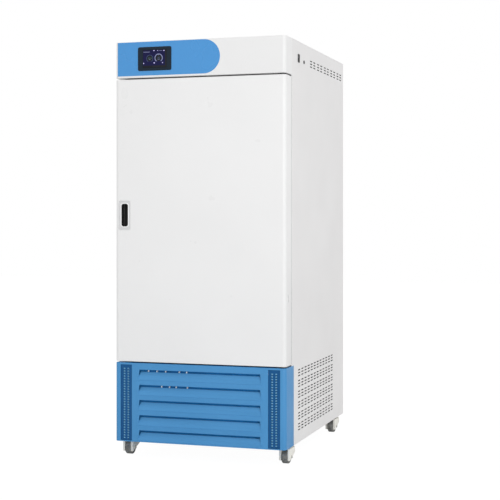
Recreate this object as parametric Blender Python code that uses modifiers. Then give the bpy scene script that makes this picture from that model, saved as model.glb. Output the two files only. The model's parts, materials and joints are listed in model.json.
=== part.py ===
"""Refrigerated incubator: a floor-standing cabinet on four swivel casters.

A side-hinged insulated door closes a stainless chamber with three shelves. A fan behind an
air duct cover moves the chamber air over an evaporator and a heater. The compressor and the
condenser stand in a compartment below, behind a louvred front grille, and the electrics sit
above the chamber behind the control fascia.

Metres, +Z up, front towards -Y, hinge side at +X, origin on the floor under the middle.
"""
import math

import bmesh
import bpy
from mathutils import Matrix, Vector

# Overall sizes
WIDTH = 0.668
DEPTH = 0.900
CABINET_HEIGHT = 1.500
CASTER_HEIGHT = 0.064

# Sheet, walls and gaps
GAP = 0.0003
PANEL_SHEET = 0.0012
PAN_SHEET = 0.0015
PAN_HEIGHT = 0.030
FOLD_RADIUS = 0.0025
INNER_CORNER = 0.002
SIDE_FLANGE = 0.020
SIDE_WALL = 0.065
CEILING_WALL = 0.062
FLOOR_WALL = 0.062
REAR_WALL = 0.070
LINER_SHEET = 0.0008
BREAKER_THICKNESS = 0.010

# Front pieces
HANDLE_PROUD = 0.002
FRONT_DEPTH = 0.080
FRONT_SEAM = 0.004
CORNER_RADIUS = 0.014
GRILLE_HEIGHT = 0.2955
GRILLE_REVEAL = 0.0055
FASCIA_HEIGHT = 0.135
FASCIA_REVEAL = 0.006
FASCIA_WALL = 0.003
DOOR_SHEET = 0.001

# Reference planes worked out from the sizes above
LEFT = -WIDTH / 2
RIGHT = WIDTH / 2
BACK = DEPTH / 2
FACE = -DEPTH / 2 + HANDLE_PROUD
BASE = CASTER_HEIGHT
TOP = BASE + CABINET_HEIGHT
CABINET_FRONT = FACE + FRONT_DEPTH + FRONT_SEAM
DOOR_BACK = FACE + FRONT_DEPTH
GRILLE_TOP = BASE + GRILLE_HEIGHT
DOOR_BOTTOM = GRILLE_TOP + GRILLE_REVEAL
FASCIA_BOTTOM = TOP - FASCIA_HEIGHT
DOOR_TOP = FASCIA_BOTTOM - FASCIA_REVEAL
INNER_HALF = RIGHT - PANEL_SHEET - GAP
INNER_FRONT = CABINET_FRONT + PANEL_SHEET + GAP
REAR_FLANGE = BACK - PANEL_SHEET - GAP
INNER_BACK = REAR_FLANGE - PANEL_SHEET - GAP
PAN_FLOOR = BASE + PAN_SHEET + GAP

# Insulated box and its chamber
DECK_DROP = 0.005
DECK_FLANGE = 0.015
CEILING_RISE = 0.007
DECK_TOP = GRILLE_TOP - DECK_DROP
FOAM_BOTTOM = DECK_TOP + GAP
FOAM_TOP = FASCIA_BOTTOM + CEILING_RISE
FOAM_FRONT = CABINET_FRONT + BREAKER_THICKNESS + GAP
CAVITY_HALF = INNER_HALF - SIDE_WALL
CAVITY_BOTTOM = FOAM_BOTTOM + FLOOR_WALL
CAVITY_TOP = FOAM_TOP - CEILING_WALL
CAVITY_BACK = INNER_BACK - REAR_WALL
CHAMBER_HALF = CAVITY_HALF - GAP - LINER_SHEET
CHAMBER_BOTTOM = CAVITY_BOTTOM + GAP + LINER_SHEET
CHAMBER_TOP = CAVITY_TOP - GAP - LINER_SHEET
CHAMBER_BACK = CAVITY_BACK - GAP - LINER_SHEET
BREAKER_LAP = 0.015

# Air duct, cooling and heating behind the chamber
DUCT_DEPTH = 0.087
DUCT_MARGIN = 0.015
DUCT_SHEET = 0.001
DUCT_FACE = CHAMBER_BACK - DUCT_DEPTH
DUCT_HALF = CHAMBER_HALF - 0.012
FAN_HEIGHT = CHAMBER_TOP - 0.137
FAN_RADIUS = 0.072
FAN_HUB_RADIUS = 0.020
FAN_HUB_DEPTH = 0.022
SHAFT_RADIUS = 0.004
SHAFT_CLEARANCE = 0.00015
MOTOR_RADIUS = 0.032
MOTOR_LENGTH = 0.040
EVAPORATOR_SIZE = (0.400, 0.048, 0.340)
EVAPORATOR_BOTTOM = CHAMBER_BOTTOM + 0.250
HEATER_TUBE = 0.008
HEATER_BOTTOM = EVAPORATOR_BOTTOM + EVAPORATOR_SIZE[2] + 0.024
HEATER_PITCH = 0.022

# Shelves
SHELF_THICKNESS = 0.004
SHELF_COUNT = 3
SHELF_RISE = 0.200
SHELF_PITCH = 0.230
SHELF_CLEARANCE = 0.0010
SHELF_SETBACK = 0.042
SHELF_DUCT_GAP = 0.012
SHELF_FIRST = CHAMBER_BOTTOM + SHELF_RISE
SHELF_FRONT = DOOR_BACK + SHELF_SETBACK
SHELF_BACK = DUCT_FACE - SHELF_DUCT_GAP
TRACK_POST = 0.014
TRACK_POST_INSET = 0.060
TRACK_FOOT = 0.030
TRACK_HEAD = 0.040
TRACK_THICKNESS = 0.004
TRACK_LEDGE = 0.018
TRACK_SHEET = 0.0015
TRACK_RAIL = 0.012

# Door parts
PLUG_CLEARANCE = 0.017
PLUG_DEPTH = 0.022
PLUG_WALL = 0.002
INNER_PANEL = 0.0015
GASKET_EDGE = 0.018
GASKET_WIDTH = 0.018
HINGE_INSET = 0.016
HINGE_AXIS_DEPTH = 0.018
PIN_RADIUS = 0.004
PIN_LENGTH = 0.020
PIN_CLEARANCE = 0.0003
BRACKET_THICKNESS = 0.003
BRACKET_WIDTH = 0.024
TAB_HEIGHT = 0.026
HANDLE_RISE = 0.8502
HANDLE_HEIGHT = BASE + HANDLE_RISE
HANDLE_CENTRE = LEFT + 0.0383
SURROUND_WIDTH = 0.049
SURROUND_HEIGHT = 0.112
GRIP_WIDTH = 0.026
GRIP_HEIGHT = 0.084
CUP_WALL = 0.0015
CUP_DEPTH = 0.030
CUP_UNDERCUT = 0.006

# Front grille
GRILLE_SHEET = 0.0015
LOUVRE_COUNT = 5
LOUVRE_PITCH = 0.0568
LOUVRE_MARGIN = 0.03255
LOUVRE_HEIGHT = 0.038
LOUVRE_DEPTH = 0.014
LOUVRE_SLIT = 0.006
LOUVRE_TOP = GRILLE_TOP - 0.0240
STRIP_INSET = 0.0442
STRIP_CENTRE = RIGHT - STRIP_INSET
STRIP_WINDOW = 0.0415
LOUVRE_WIDTH = 2 * (STRIP_CENTRE - STRIP_WINDOW / 2 - LOUVRE_MARGIN)
STRIP_MARGIN = 0.004
STRIP_SHEET = 0.001
STRIP_EDGE = 0.009

# Vent slots in the side and rear panels
SLOT_LENGTH = 0.032
SLOT_HEIGHT = 0.0045
SLOT_ROW_PITCH = 0.0109
LOWER_COLUMNS = 12
LOWER_COLUMN_PITCH = 0.0462
LOWER_GROUPS = 6
LEFT_GROUP_COUNT = 2
LOWER_GROUP_PITCH = 0.0404
LOWER_FIRST = FACE + 0.1835
LOWER_TOP_ROW = BASE + 0.2710
UPPER_PAIRS = 5
UPPER_PAIR_PITCH = 0.1090
UPPER_PAIR_STEP = 0.0503
UPPER_FIRST = FACE + 0.3575
UPPER_TOP_ROW = BASE + 1.4467

# Controls
OVERLAY_SHEET = 0.001
OVERLAY_TIP = 0.0828
OVERLAY_TOP_MARGIN = 0.0015
OVERLAY_WRAP = 19.0
OVERLAY_BOTTOM_MARGIN = 0.007
DISPLAY_WIDTH = 0.134
DISPLAY_HEIGHT = 0.089
DISPLAY_LEFT = LEFT + 0.0922
DISPLAY_BOTTOM = FASCIA_BOTTOM + 0.0245
DISPLAY_LIP = 0.005
DISPLAY_BODY_DEPTH = 0.016
SCREEN_WIDTH = 0.096
SCREEN_HEIGHT = 0.068
SCREEN_THICKNESS = 0.0025
SCREEN_RECESS = 0.0008
SCREEN_LEDGE = 0.005
SWITCH_DEPTH_FROM_FACE = 0.1735
SWITCH_HEIGHT = TOP - 0.0635
SWITCH_BEZEL = (0.022, 0.031)
SWITCH_LIP = 0.0015
SWITCH_PROUD = 0.002
ROCKER_SIZE = (0.0150, 0.0230)
ROCKER_CLEARANCE = 0.0013
ROCKER_TILT = 7.0
FUSE_DEPTH_FROM_FACE = 0.2490
FUSE_RADIUS = 0.007

# Casters
WHEEL_RADIUS = 0.025
WHEEL_WIDTH = 0.022
WHEEL_SIDES = 20
CASTER_TRAIL = 0.018
CASTER_TURN = 4.0
CASTER_EDGE_X = 0.0232
CASTER_FRONT_Y = FACE + 0.111
CASTER_REAR_Y = BACK - 0.089
CASTER_PLATE = (0.040, 0.056, 0.0025)
RACE_HEIGHT = 0.0035
RACE_RADIUS = 0.018
FORK_TOP_SHEET = 0.0025
CHEEK_THICKNESS = 0.008
CHEEK_FOOT = 0.0128
CHEEK_SILL = 0.0230
FORK_GAP = 0.0012
AXLE_RADIUS = 0.003
PEDAL_PIN = 0.0015

CASTER_PLATE_BOTTOM = BASE - GAP - CASTER_PLATE[2]
RACE_BOTTOM = CASTER_PLATE_BOTTOM - RACE_HEIGHT
FORK_TOP = RACE_BOTTOM - GAP
FORK_CROWN = FORK_TOP - FORK_TOP_SHEET
FORK_INNER = WHEEL_WIDTH / 2 + FORK_GAP

HINGE_X = RIGHT - HINGE_INSET
HINGE_Y = FACE + HINGE_AXIS_DEPTH

# Finishes: colour, roughness, metallic
WHITE_ENAMEL = ((0.86, 0.87, 0.87), 0.35, 0.0)
GREY_ENAMEL = ((0.62, 0.63, 0.64), 0.40, 0.0)
BLUE_ENAMEL = ((0.09, 0.27, 0.57), 0.38, 0.0)
BLUE_FILM = ((0.10, 0.33, 0.72), 0.30, 0.0)
DARK_BLUE = ((0.05, 0.17, 0.40), 0.45, 0.0)
STAINLESS = ((0.72, 0.72, 0.70), 0.25, 1.0)
ZINC = ((0.66, 0.66, 0.64), 0.35, 1.0)
ALUMINIUM = ((0.80, 0.80, 0.80), 0.35, 1.0)
BLACK_PLASTIC = ((0.02, 0.02, 0.02), 0.45, 0.0)
DARK_PLASTIC = ((0.07, 0.07, 0.08), 0.40, 0.0)
WHITE_PLASTIC = ((0.80, 0.80, 0.79), 0.45, 0.0)
GASKET_RUBBER = ((0.10, 0.10, 0.11), 0.60, 0.0)
WHEEL_RUBBER = ((0.06, 0.06, 0.06), 0.65, 0.0)
SCREEN_GLASS = ((0.01, 0.02, 0.12), 0.10, 0.0)
FOAM = ((0.85, 0.78, 0.55), 0.90, 0.0)
BOARD = ((0.03, 0.22, 0.10), 0.50, 0.0)
COMPRESSOR_PAINT = ((0.03, 0.03, 0.03), 0.45, 0.0)

# Local x, y, z of a flat outline turned to the world: along X, towards -Y, or along Z
PLANES = {
    "X": Matrix(((0, 0, 1, 0), (1, 0, 0, 0), (0, 1, 0, 0), (0, 0, 0, 1))),
    "Y": Matrix(((1, 0, 0, 0), (0, 0, -1, 0), (0, 1, 0, 0), (0, 0, 0, 1))),
    "Z": Matrix.Identity(4),
}

for leftover in list(bpy.data.objects):
    bpy.data.objects.remove(leftover, do_unlink=True)

parts = bpy.data.collections.new("refrigerated_incubator")
cutters = bpy.data.collections.new("cutters")
bpy.context.scene.collection.children.link(parts)
bpy.context.scene.collection.children.link(cutters)


# Helpers for outlines

def arc(centre, radius, start, end, segments):
    """Points on an arc from start to end, in degrees, both ends included."""
    points = []
    for step in range(segments + 1):
        angle = math.radians(start + (end - start) * step / segments)
        points.append((centre[0] + radius * math.cos(angle), centre[1] + radius * math.sin(angle)))
    return points


def rectangle(left, right, low, high):
    return [(left, low), (right, low), (right, high), (left, high)]


def rounded_rectangle(left, right, low, high, radius, segments=4):
    """A rectangle with four round corners, anticlockwise."""
    return (
        arc((left + radius, low + radius), radius, 180, 270, segments)
        + arc((right - radius, low + radius), radius, 270, 360, segments)
        + arc((right - radius, high - radius), radius, 0, 90, segments)
        + arc((left + radius, high - radius), radius, 90, 180, segments)
    )


def inner_plan(front):
    """The plan of a piece that fits between the folded side panels."""
    return rounded_rectangle(-INNER_HALF, INNER_HALF, front, INNER_BACK, INNER_CORNER, 1)


def front_outline(inset, back, segments=6):
    """The plan of a front piece: two round corners at the front, square ones at the back."""
    left, right, front = LEFT + inset, RIGHT - inset, FACE + inset
    radius = CORNER_RADIUS - inset
    return (
        arc((left + radius, front + radius), radius, 180, 270, segments)
        + arc((right - radius, front + radius), radius, 270, 360, segments)
        + [(right, back), (left, back)]
    )


def folded(path, radius=FOLD_RADIUS, segments=2):
    """A path of straight runs with its right-angled folds rounded."""
    points = [path[0]]
    for before, corner, after in zip(path, path[1:], path[2:]):
        corner = Vector(corner)
        start = corner + (Vector(before) - corner).normalized() * radius
        end = corner + (Vector(after) - corner).normalized() * radius
        centre = start + end - corner
        for step in range(segments + 1):
            turn = (math.pi / 2) * step / segments
            points.append(tuple(centre + (start - centre) * math.cos(turn)
                                + (end - centre) * math.sin(turn)))
    points.append(path[-1])
    return points


# Helpers for solids

def paint(obj, finish):
    colour, roughness, metallic = finish
    material = bpy.data.materials.new(obj.name + "_finish")
    material.use_nodes = True
    shader = material.node_tree.nodes["Principled BSDF"]
    shader.inputs["Base Color"].default_value = (*colour, 1)
    shader.inputs["Roughness"].default_value = roughness
    shader.inputs["Metallic"].default_value = metallic
    material.diffuse_color = (*colour, 1)
    obj.data.materials.append(material)


def add_object(name, mesh, placing, finish):
    """A part when it has a finish, and a hidden cutting tool when it has none."""
    obj = bpy.data.objects.new(name, mesh)
    obj.matrix_world = placing
    if finish:
        parts.objects.link(obj)
        paint(obj, finish)
    else:
        cutters.objects.link(obj)
        obj.display_type = "WIRE"
        obj.hide_render = True
    return obj


def box(name, low, high, finish=None):
    """A block between two corners, with its origin at its centre."""
    low, high = Vector(low), Vector(high)
    mesh = bpy.data.meshes.new(name)
    work = bmesh.new()
    bmesh.ops.create_cube(work, size=1, matrix=Matrix.Diagonal((*(high - low), 1)))
    work.to_mesh(mesh)
    work.free()
    return add_object(name, mesh, Matrix.Translation((low + high) / 2), finish)


def plate(name, outline, plane, low, high, finish=None, holes=()):
    """A flat outline, with holes, given thickness between low and high along its plane's axis."""
    curve = bpy.data.curves.new(name + "_outline", "CURVE")
    curve.dimensions = "2D"
    curve.fill_mode = "BOTH"
    curve.extrude = (high - low) / 2
    for ring in (outline, *holes):
        spline = curve.splines.new("POLY")
        spline.points.add(len(ring) - 1)
        for point, (u, v) in zip(spline.points, ring):
            point.co = (u, v, 0, 1)
        spline.use_cyclic_u = True
    drawn = bpy.data.objects.new(name + "_drawn", curve)
    parts.objects.link(drawn)
    bpy.context.view_layer.update()
    mesh = bpy.data.meshes.new_from_object(drawn.evaluated_get(
        bpy.context.evaluated_depsgraph_get()))
    mesh.name = name
    work = bmesh.new()
    work.from_mesh(mesh)
    bmesh.ops.remove_doubles(work, verts=work.verts, dist=0.00001)
    bmesh.ops.recalc_face_normals(work, faces=work.faces)
    work.to_mesh(mesh)
    work.free()
    bpy.data.objects.remove(drawn)
    middle = {"X": ((low + high) / 2, 0, 0), "Y": (0, (low + high) / 2, 0),
              "Z": (0, 0, (low + high) / 2)}[plane]
    return add_object(name, mesh, Matrix.Translation(middle) @ PLANES[plane], finish)


def thicken(obj, wall):
    """Give an open surface a wall on its inner side."""
    solid = obj.modifiers.new("wall", "SOLIDIFY")
    solid.thickness = wall
    solid.offset = -1
    solid.use_even_offset = True


def shell(name, outline, plane, low, high, wall, finish, open_towards):
    """A hollow form of the outline, with the faces that look one way taken out."""
    obj = plate(name, outline, plane, low, high, finish)
    work = bmesh.new()
    work.from_mesh(obj.data)
    turn = obj.matrix_world.to_3x3()
    opened = [face for face in work.faces
              if (turn @ face.normal).dot(Vector(open_towards)) > 0.99]
    bmesh.ops.delete(work, geom=opened, context="FACES")
    work.to_mesh(obj.data)
    work.free()
    thicken(obj, wall)
    return obj


def folded_sheet(name, path, low, high, wall, finish=None):
    """A sheet that follows a path in plan, standing from low to high, its wall on the left."""
    mesh = bpy.data.meshes.new(name)
    work = bmesh.new()
    foot = [work.verts.new((x, y, low)) for x, y in path]
    runs = [work.edges.new(pair) for pair in zip(foot, foot[1:])]
    raised = bmesh.ops.extrude_edge_only(work, edges=runs)["geom"]
    lifted = [item for item in raised if isinstance(item, bmesh.types.BMVert)]
    bmesh.ops.translate(work, verts=lifted, vec=(0, 0, high - low))
    first = foot[0].link_faces[0]
    first.normal_update()
    run = foot[1].co - foot[0].co
    if first.normal.dot(run.cross(Vector((0, 0, 1)))) < 0:
        bmesh.ops.reverse_faces(work, faces=work.faces)
    work.to_mesh(mesh)
    work.free()
    obj = add_object(name, mesh, Matrix.Identity(4), finish)
    thicken(obj, wall)
    return obj


def turned(name, profile, placing, steps, finish=None, ring=False):
    """A round form: a profile of (radius, height) points that runs down its outer side."""
    mesh = bpy.data.meshes.new(name)
    work = bmesh.new()
    points = [work.verts.new((radius, 0, height)) for radius, height in profile]
    for pair in zip(points, points[1:] + (points[:1] if ring else [])):
        work.edges.new(pair)
    work.to_mesh(mesh)
    work.free()
    obj = add_object(name, mesh, placing, finish)
    screw = obj.modifiers.new("turn", "SCREW")
    screw.steps = steps
    screw.render_steps = steps
    screw.use_merge_vertices = True
    screw.merge_threshold = 0.00001
    return obj


def rod(name, radius, placing, low, high, steps, finish=None):
    return turned(name, [(0, high), (radius, high), (radius, low), (0, low)], placing, steps, finish)


def place(plane, x, y, z):
    """Put a form's local z along the plane's axis, at a point."""
    return Matrix.Translation((x, y, z)) @ PLANES[plane]


def apply_tools(target, operation, tools):
    for tool in tools:
        step = target.modifiers.new(tool.name, "BOOLEAN")
        step.operation = operation
        step.object = tool
    return target


def cut(target, *tools):
    return apply_tools(target, "DIFFERENCE", tools)


def fuse(target, *tools):
    return apply_tools(target, "UNION", tools)


def keep(target, *tools):
    return apply_tools(target, "INTERSECT", tools)


def repeat(obj, count, step):
    """Repeat a cutting tool along a step."""
    array = obj.modifiers.new("repeat", "ARRAY")
    array.count = count
    array.use_relative_offset = False
    array.use_constant_offset = True
    array.constant_offset_displace = step
    return obj


def joint_axis(name, placing, parent=None):
    """An empty on a joint's axis, which carries the pieces that move."""
    axis = bpy.data.objects.new(name, None)
    axis.empty_display_size = 0.05
    parts.objects.link(axis)
    if parent:
        axis.parent = parent
        axis.matrix_parent_inverse = parent.matrix_world.inverted()
    axis.matrix_world = placing
    bpy.context.view_layer.update()
    return axis


def carry(axis, *pieces):
    for piece in pieces:
        piece.parent = axis
        piece.matrix_parent_inverse = axis.matrix_world.inverted()


# Cabinet skin

def slot_tool(name, x, first_y, top_z, steps):
    """Slots through a side panel: one slot, repeated by each (count, step)."""
    tool = box(name, (x - 0.005, first_y - SLOT_LENGTH / 2, top_z - SLOT_HEIGHT / 2),
               (x + 0.005, first_y + SLOT_LENGTH / 2, top_z + SLOT_HEIGHT / 2))
    for count, step in steps:
        repeat(tool, count, step)
    return tool


def lower_slots(name, x, groups):
    return slot_tool(name, x, LOWER_FIRST, LOWER_TOP_ROW, (
        (LOWER_COLUMNS, (0, LOWER_COLUMN_PITCH, 0)),
        (3, (0, 0, -SLOT_ROW_PITCH)),
        (groups, (0, 0, -LOWER_GROUP_PITCH)),
    ))


def side_panels():
    top = TOP - PANEL_SHEET - GAP
    path = [(RIGHT - SIDE_FLANGE, CABINET_FRONT), (RIGHT, CABINET_FRONT),
            (RIGHT, REAR_FLANGE), (RIGHT - SIDE_FLANGE, REAR_FLANGE)]
    right = folded_sheet("right_side_panel", folded(path), BASE, top, PANEL_SHEET, WHITE_ENAMEL)
    mirrored = folded([(-x, y) for x, y in reversed(path)])
    left = folded_sheet("left_side_panel", mirrored, BASE, top, PANEL_SHEET, WHITE_ENAMEL)
    upper = slot_tool("upper_slots", RIGHT, UPPER_FIRST, UPPER_TOP_ROW, (
        (2, (0, UPPER_PAIR_STEP, 0)),
        (UPPER_PAIRS, (0, UPPER_PAIR_PITCH, 0)),
        (3, (0, 0, -SLOT_ROW_PITCH)),
    ))
    cut(right, lower_slots("lower_slots_right", RIGHT, LOWER_GROUPS), upper)
    cut(left, lower_slots("lower_slots_left", LEFT, LEFT_GROUP_COUNT))
    return right


def top_and_rear():
    box("top_panel", (LEFT, CABINET_FRONT, TOP - PANEL_SHEET), (RIGHT, REAR_FLANGE, TOP), WHITE_ENAMEL)
    edge = FOLD_RADIUS
    rear = box("rear_panel", (LEFT + edge, BACK - PANEL_SHEET, BASE), (RIGHT - edge, BACK, TOP),
               WHITE_ENAMEL)
    vent_length, vent_height, vent_pitch, vent_rise = 0.075, 0.006, 0.100, 0.022
    columns = 5
    first = -vent_pitch * (columns - 1) / 2
    low = BASE + 0.110
    vent = box("rear_slots", (first - vent_length / 2, BACK - 0.01, low),
               (first + vent_length / 2, BACK + 0.01, low + vent_height))
    repeat(vent, columns, (vent_pitch, 0, 0))
    repeat(vent, 6, (0, 0, vent_rise))
    cut(rear, vent)
    return rear


def base_and_deck():
    shell("base_frame", inner_plan(INNER_FRONT), "Z", BASE, BASE + PAN_HEIGHT, PAN_SHEET,
          GREY_ENAMEL, (0, 0, 1))
    deck = plate("machine_deck", inner_plan(INNER_FRONT), "Z", DECK_TOP - PANEL_SHEET, DECK_TOP, GREY_ENAMEL)
    half = INNER_HALF - INNER_CORNER
    low, high = DECK_TOP - DECK_FLANGE, DECK_TOP - PANEL_SHEET / 2
    for label, front in (("front", INNER_FRONT + GAP), ("rear", INNER_BACK - GAP - PANEL_SHEET)):
        fuse(deck, box(f"deck_{label}_fold", (-half, front, low), (half, front + PANEL_SHEET, high)))


# Insulated box

def insulated_box():
    foam = plate("insulation", inner_plan(FOAM_FRONT), "Z", FOAM_BOTTOM, FOAM_TOP, FOAM)
    cut(foam, box("cavity", (-CAVITY_HALF, FOAM_FRONT - 0.01, CAVITY_BOTTOM),
                  (CAVITY_HALF, CAVITY_BACK, CAVITY_TOP)))
    outer = rectangle(-CAVITY_HALF + GAP, CAVITY_HALF - GAP, CAVITY_BOTTOM + GAP, CAVITY_TOP - GAP)
    shell("chamber_liner", outer, "Y", CABINET_FRONT, CAVITY_BACK - GAP, LINER_SHEET, STAINLESS,
          (0, -1, 0))
    edge = RIGHT - SIDE_FLANGE - GAP
    ring = rectangle(-edge, edge, GRILLE_TOP - BREAKER_LAP + DECK_FLANGE, FASCIA_BOTTOM + BREAKER_LAP)
    hole = rectangle(-CAVITY_HALF, CAVITY_HALF, CAVITY_BOTTOM, CAVITY_TOP)
    plate("breaker_frame", ring, "Y", CABINET_FRONT, CABINET_FRONT + BREAKER_THICKNESS, WHITE_PLASTIC,
          [hole])


def shelf_heights():
    return [SHELF_FIRST + SHELF_PITCH * number for number in range(SHELF_COUNT)]


def shelves():
    half = CHAMBER_HALF - GAP - TRACK_THICKNESS - SHELF_CLEARANCE
    bar, columns, rows = 0.006, 11, 1
    pitch_x = (2 * half - bar) / columns
    pitch_y = (SHELF_BACK - SHELF_FRONT - bar) / rows
    holes = []
    for column in range(columns):
        for row in range(rows):
            left = -half + bar + column * pitch_x
            near = SHELF_FRONT + bar + row * pitch_y
            holes.append(rectangle(left, left + pitch_x - bar, near, near + pitch_y - bar))
    outline = rounded_rectangle(-half, half, SHELF_FRONT, SHELF_BACK, bar, 2)
    for number, height in enumerate(shelf_heights(), start=1):
        plate(f"shelf_{number}", outline, "Z", height, height + SHELF_THICKNESS, STAINLESS, holes)


def shelf_track(name, side):
    """Two slotted posts on a chamber wall and the angle rails that hold the shelves."""
    wall = CHAMBER_HALF - GAP
    inner = wall - TRACK_THICKNESS
    low, high = CHAMBER_BOTTOM + TRACK_FOOT, CHAMBER_TOP - TRACK_HEAD

    def post(label, y, finish=None):
        return box(label, (min(side * inner, side * wall), y, low),
                   (max(side * inner, side * wall), y + TRACK_POST, high), finish)

    track = post(name, SHELF_FRONT + TRACK_POST_INSET, STAINLESS)
    tools = [post(name + "_rear_post", SHELF_BACK - TRACK_POST_INSET - TRACK_POST)]
    edge, tip = inner + 2 * GAP, wall - TRACK_LEDGE
    for number, height in enumerate(shelf_heights(), start=1):
        ledge = height - GAP
        angle = [(edge, ledge - TRACK_RAIL), (edge, ledge), (tip, ledge), (tip, ledge - TRACK_SHEET),
                 (edge - TRACK_SHEET, ledge - TRACK_SHEET), (edge - TRACK_SHEET, ledge - TRACK_RAIL)]
        tools.append(plate(f"{name}_rail_{number}", [(side * x, z) for x, z in angle], "Y",
                           SHELF_FRONT, SHELF_BACK))
    fuse(track, *tools)


# Air duct

def duct_cover():
    low, high = CHAMBER_BOTTOM + DUCT_MARGIN, CHAMBER_TOP - DUCT_MARGIN
    cover = shell("air_duct_cover", rectangle(-DUCT_HALF, DUCT_HALF, low, high), "Y", DUCT_FACE,
                  CHAMBER_BACK - GAP, DUCT_SHEET, STAINLESS, (0, 1, 0))
    spokes = 8
    inner, outer, width = 0.028, FAN_RADIUS - 0.004, 0.012
    for number in range(spokes):
        turn = Matrix.Rotation(2 * math.pi * number / spokes, 4, "Z")
        slot = box(f"fan_slot_{number}", (inner, -width / 2, -0.01), (outer, width / 2, 0.01))
        slot.matrix_world = place("Y", 0, DUCT_FACE, FAN_HEIGHT) @ turn @ slot.matrix_world
        cut(cover, slot)
    length, height, pitch, rise = 0.060, 0.008, 0.080, 0.018
    columns = 5
    first = -pitch * (columns - 1) / 2 - length / 2
    for label, foot in (("return_slots", low + 0.030), ("supply_slots", FAN_HEIGHT + FAN_RADIUS + 0.012)):
        vent = box(label, (first, DUCT_FACE - 0.01, foot), (first + length, DUCT_FACE + 0.01, foot + height))
        repeat(vent, columns, (pitch, 0, 0))
        repeat(vent, 2, (0, 0, rise))
        cut(cover, vent)


def finned_coil(name, size, low, finish, valleys):
    """A coil block whose fins stand upright, with flat headers at both ends."""
    width, depth, height = size
    left, front, bottom = low
    header, fin, root = 0.010, 0.003, front + depth * 0.30
    valley = (width - 2 * header - (valleys - 1) * fin) / valleys
    outline = [(left, front)]
    for number in range(valleys):
        start = left + header + number * (valley + fin)
        outline += [(start, front), (start, root), (start + valley, root), (start + valley, front)]
    outline += [(left + width, front), (left + width, front + depth), (left, front + depth)]
    return plate(name, outline, "Z", bottom, bottom + height, finish)


def heater():
    """A sheathed heating tube bent into four runs, clipped to the chamber's rear wall."""
    radius = HEATER_TUBE / 2
    y = CHAMBER_BACK - GAP - radius
    half = EVAPORATOR_SIZE[0] / 2 - 0.040
    bend = HEATER_PITCH / 2
    runs = 4
    route = []
    for run in range(runs):
        z = HEATER_BOTTOM + run * HEATER_PITCH
        side = 1 if run % 2 == 0 else -1
        route.append((-side * half, z))
        if run < runs - 1:
            start, end = (-90, 90) if side > 0 else (270, 90)
            route += arc((side * half, z + bend), bend, start, end, 5)[:-1]
        else:
            route.append((side * half, z))
    curve = bpy.data.curves.new("heater", "CURVE")
    curve.dimensions = "3D"
    curve.bevel_depth = radius
    curve.bevel_resolution = 1
    curve.use_fill_caps = True
    spline = curve.splines.new("POLY")
    spline.points.add(len(route) - 1)
    for point, (x, z) in zip(spline.points, route):
        point.co = (x, 0, z, 1)
    obj = bpy.data.objects.new("heater", curve)
    obj.location = (0, y, 0)
    parts.objects.link(obj)
    paint(obj, STAINLESS)


def fan_wheel(name, placing, radius, hub_radius, hub_depth, blades, pitch, finish):
    """A turned hub with a blind shaft bore at its back, and twisted blades let into it."""
    bore = SHAFT_RADIUS + SHAFT_CLEARANCE
    front, rear = hub_depth / 2, -hub_depth / 2
    round_off = 0.003
    hub = turned(name, [(0, front), (hub_radius - round_off, front), (hub_radius, front - round_off),
                        (hub_radius, rear), (bore, rear), (bore, front - 0.006), (0, front - 0.006)],
                 placing, 20, finish)
    root = hub_radius * 0.85
    chord_in, chord_out, sheet = hub_depth * 0.75, hub_depth * 1.15, 0.0016
    blade = [(root, -chord_in / 2), (radius * 0.7, -chord_out * 0.50), (radius, -chord_out * 0.32),
             (radius, chord_out * 0.42), (radius * 0.7, chord_out * 0.55), (root, chord_in / 2)]
    tilt = Matrix.Rotation(math.radians(pitch), 4, "X")
    for number in range(blades):
        tool = plate(f"{name}_blade_{number}", blade, "Z", -sheet / 2, sheet / 2)
        turn = Matrix.Rotation(2 * math.pi * number / blades, 4, "Z")
        tool.matrix_world = placing @ turn @ tilt @ tool.matrix_world
        fuse(hub, tool)
    return hub


def circulation_fan():
    rear = CHAMBER_BACK - GAP
    motor_front = rear - MOTOR_LENGTH
    hub_rear = motor_front - 0.004
    centre_y = hub_rear - FAN_HUB_DEPTH / 2
    shaft_reach = FAN_HUB_DEPTH - 0.006 - 0.001
    round_off = 0.004
    turned("circulation_fan_motor", [
        (0, MOTOR_LENGTH + 0.004 + shaft_reach), (SHAFT_RADIUS, MOTOR_LENGTH + 0.004 + shaft_reach),
        (SHAFT_RADIUS, MOTOR_LENGTH), (MOTOR_RADIUS - round_off, MOTOR_LENGTH),
        (MOTOR_RADIUS, MOTOR_LENGTH - round_off), (MOTOR_RADIUS, 0), (0, 0)],
        place("Y", 0, rear, FAN_HEIGHT), 20, ZINC)
    axis = joint_axis("circulation_fan_axis", place("Y", 0, centre_y, FAN_HEIGHT))
    carry(axis, fan_wheel("circulation_fan_impeller", axis.matrix_world.copy(), FAN_RADIUS,
                          FAN_HUB_RADIUS, FAN_HUB_DEPTH, 5, 32, ALUMINIUM))


def chamber_rear():
    duct_cover()
    width, depth, height = EVAPORATOR_SIZE
    finned_coil("evaporator", EVAPORATOR_SIZE, (-width / 2, CHAMBER_BACK - GAP - depth, EVAPORATOR_BOTTOM),
                ALUMINIUM, 11)
    heater()
    circulation_fan()
    flange, stem, length = 0.009, 0.003, 0.055
    turned("temperature_probe", [(0, length), (stem * 0.6, length), (stem, length - 0.002),
                                 (stem, 0.002), (flange, 0.002), (flange, 0), (0, 0)],
           place("Y", 0.120, DUCT_FACE - GAP, FAN_HEIGHT - 0.020), 12, STAINLESS)


# Machine compartment

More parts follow.
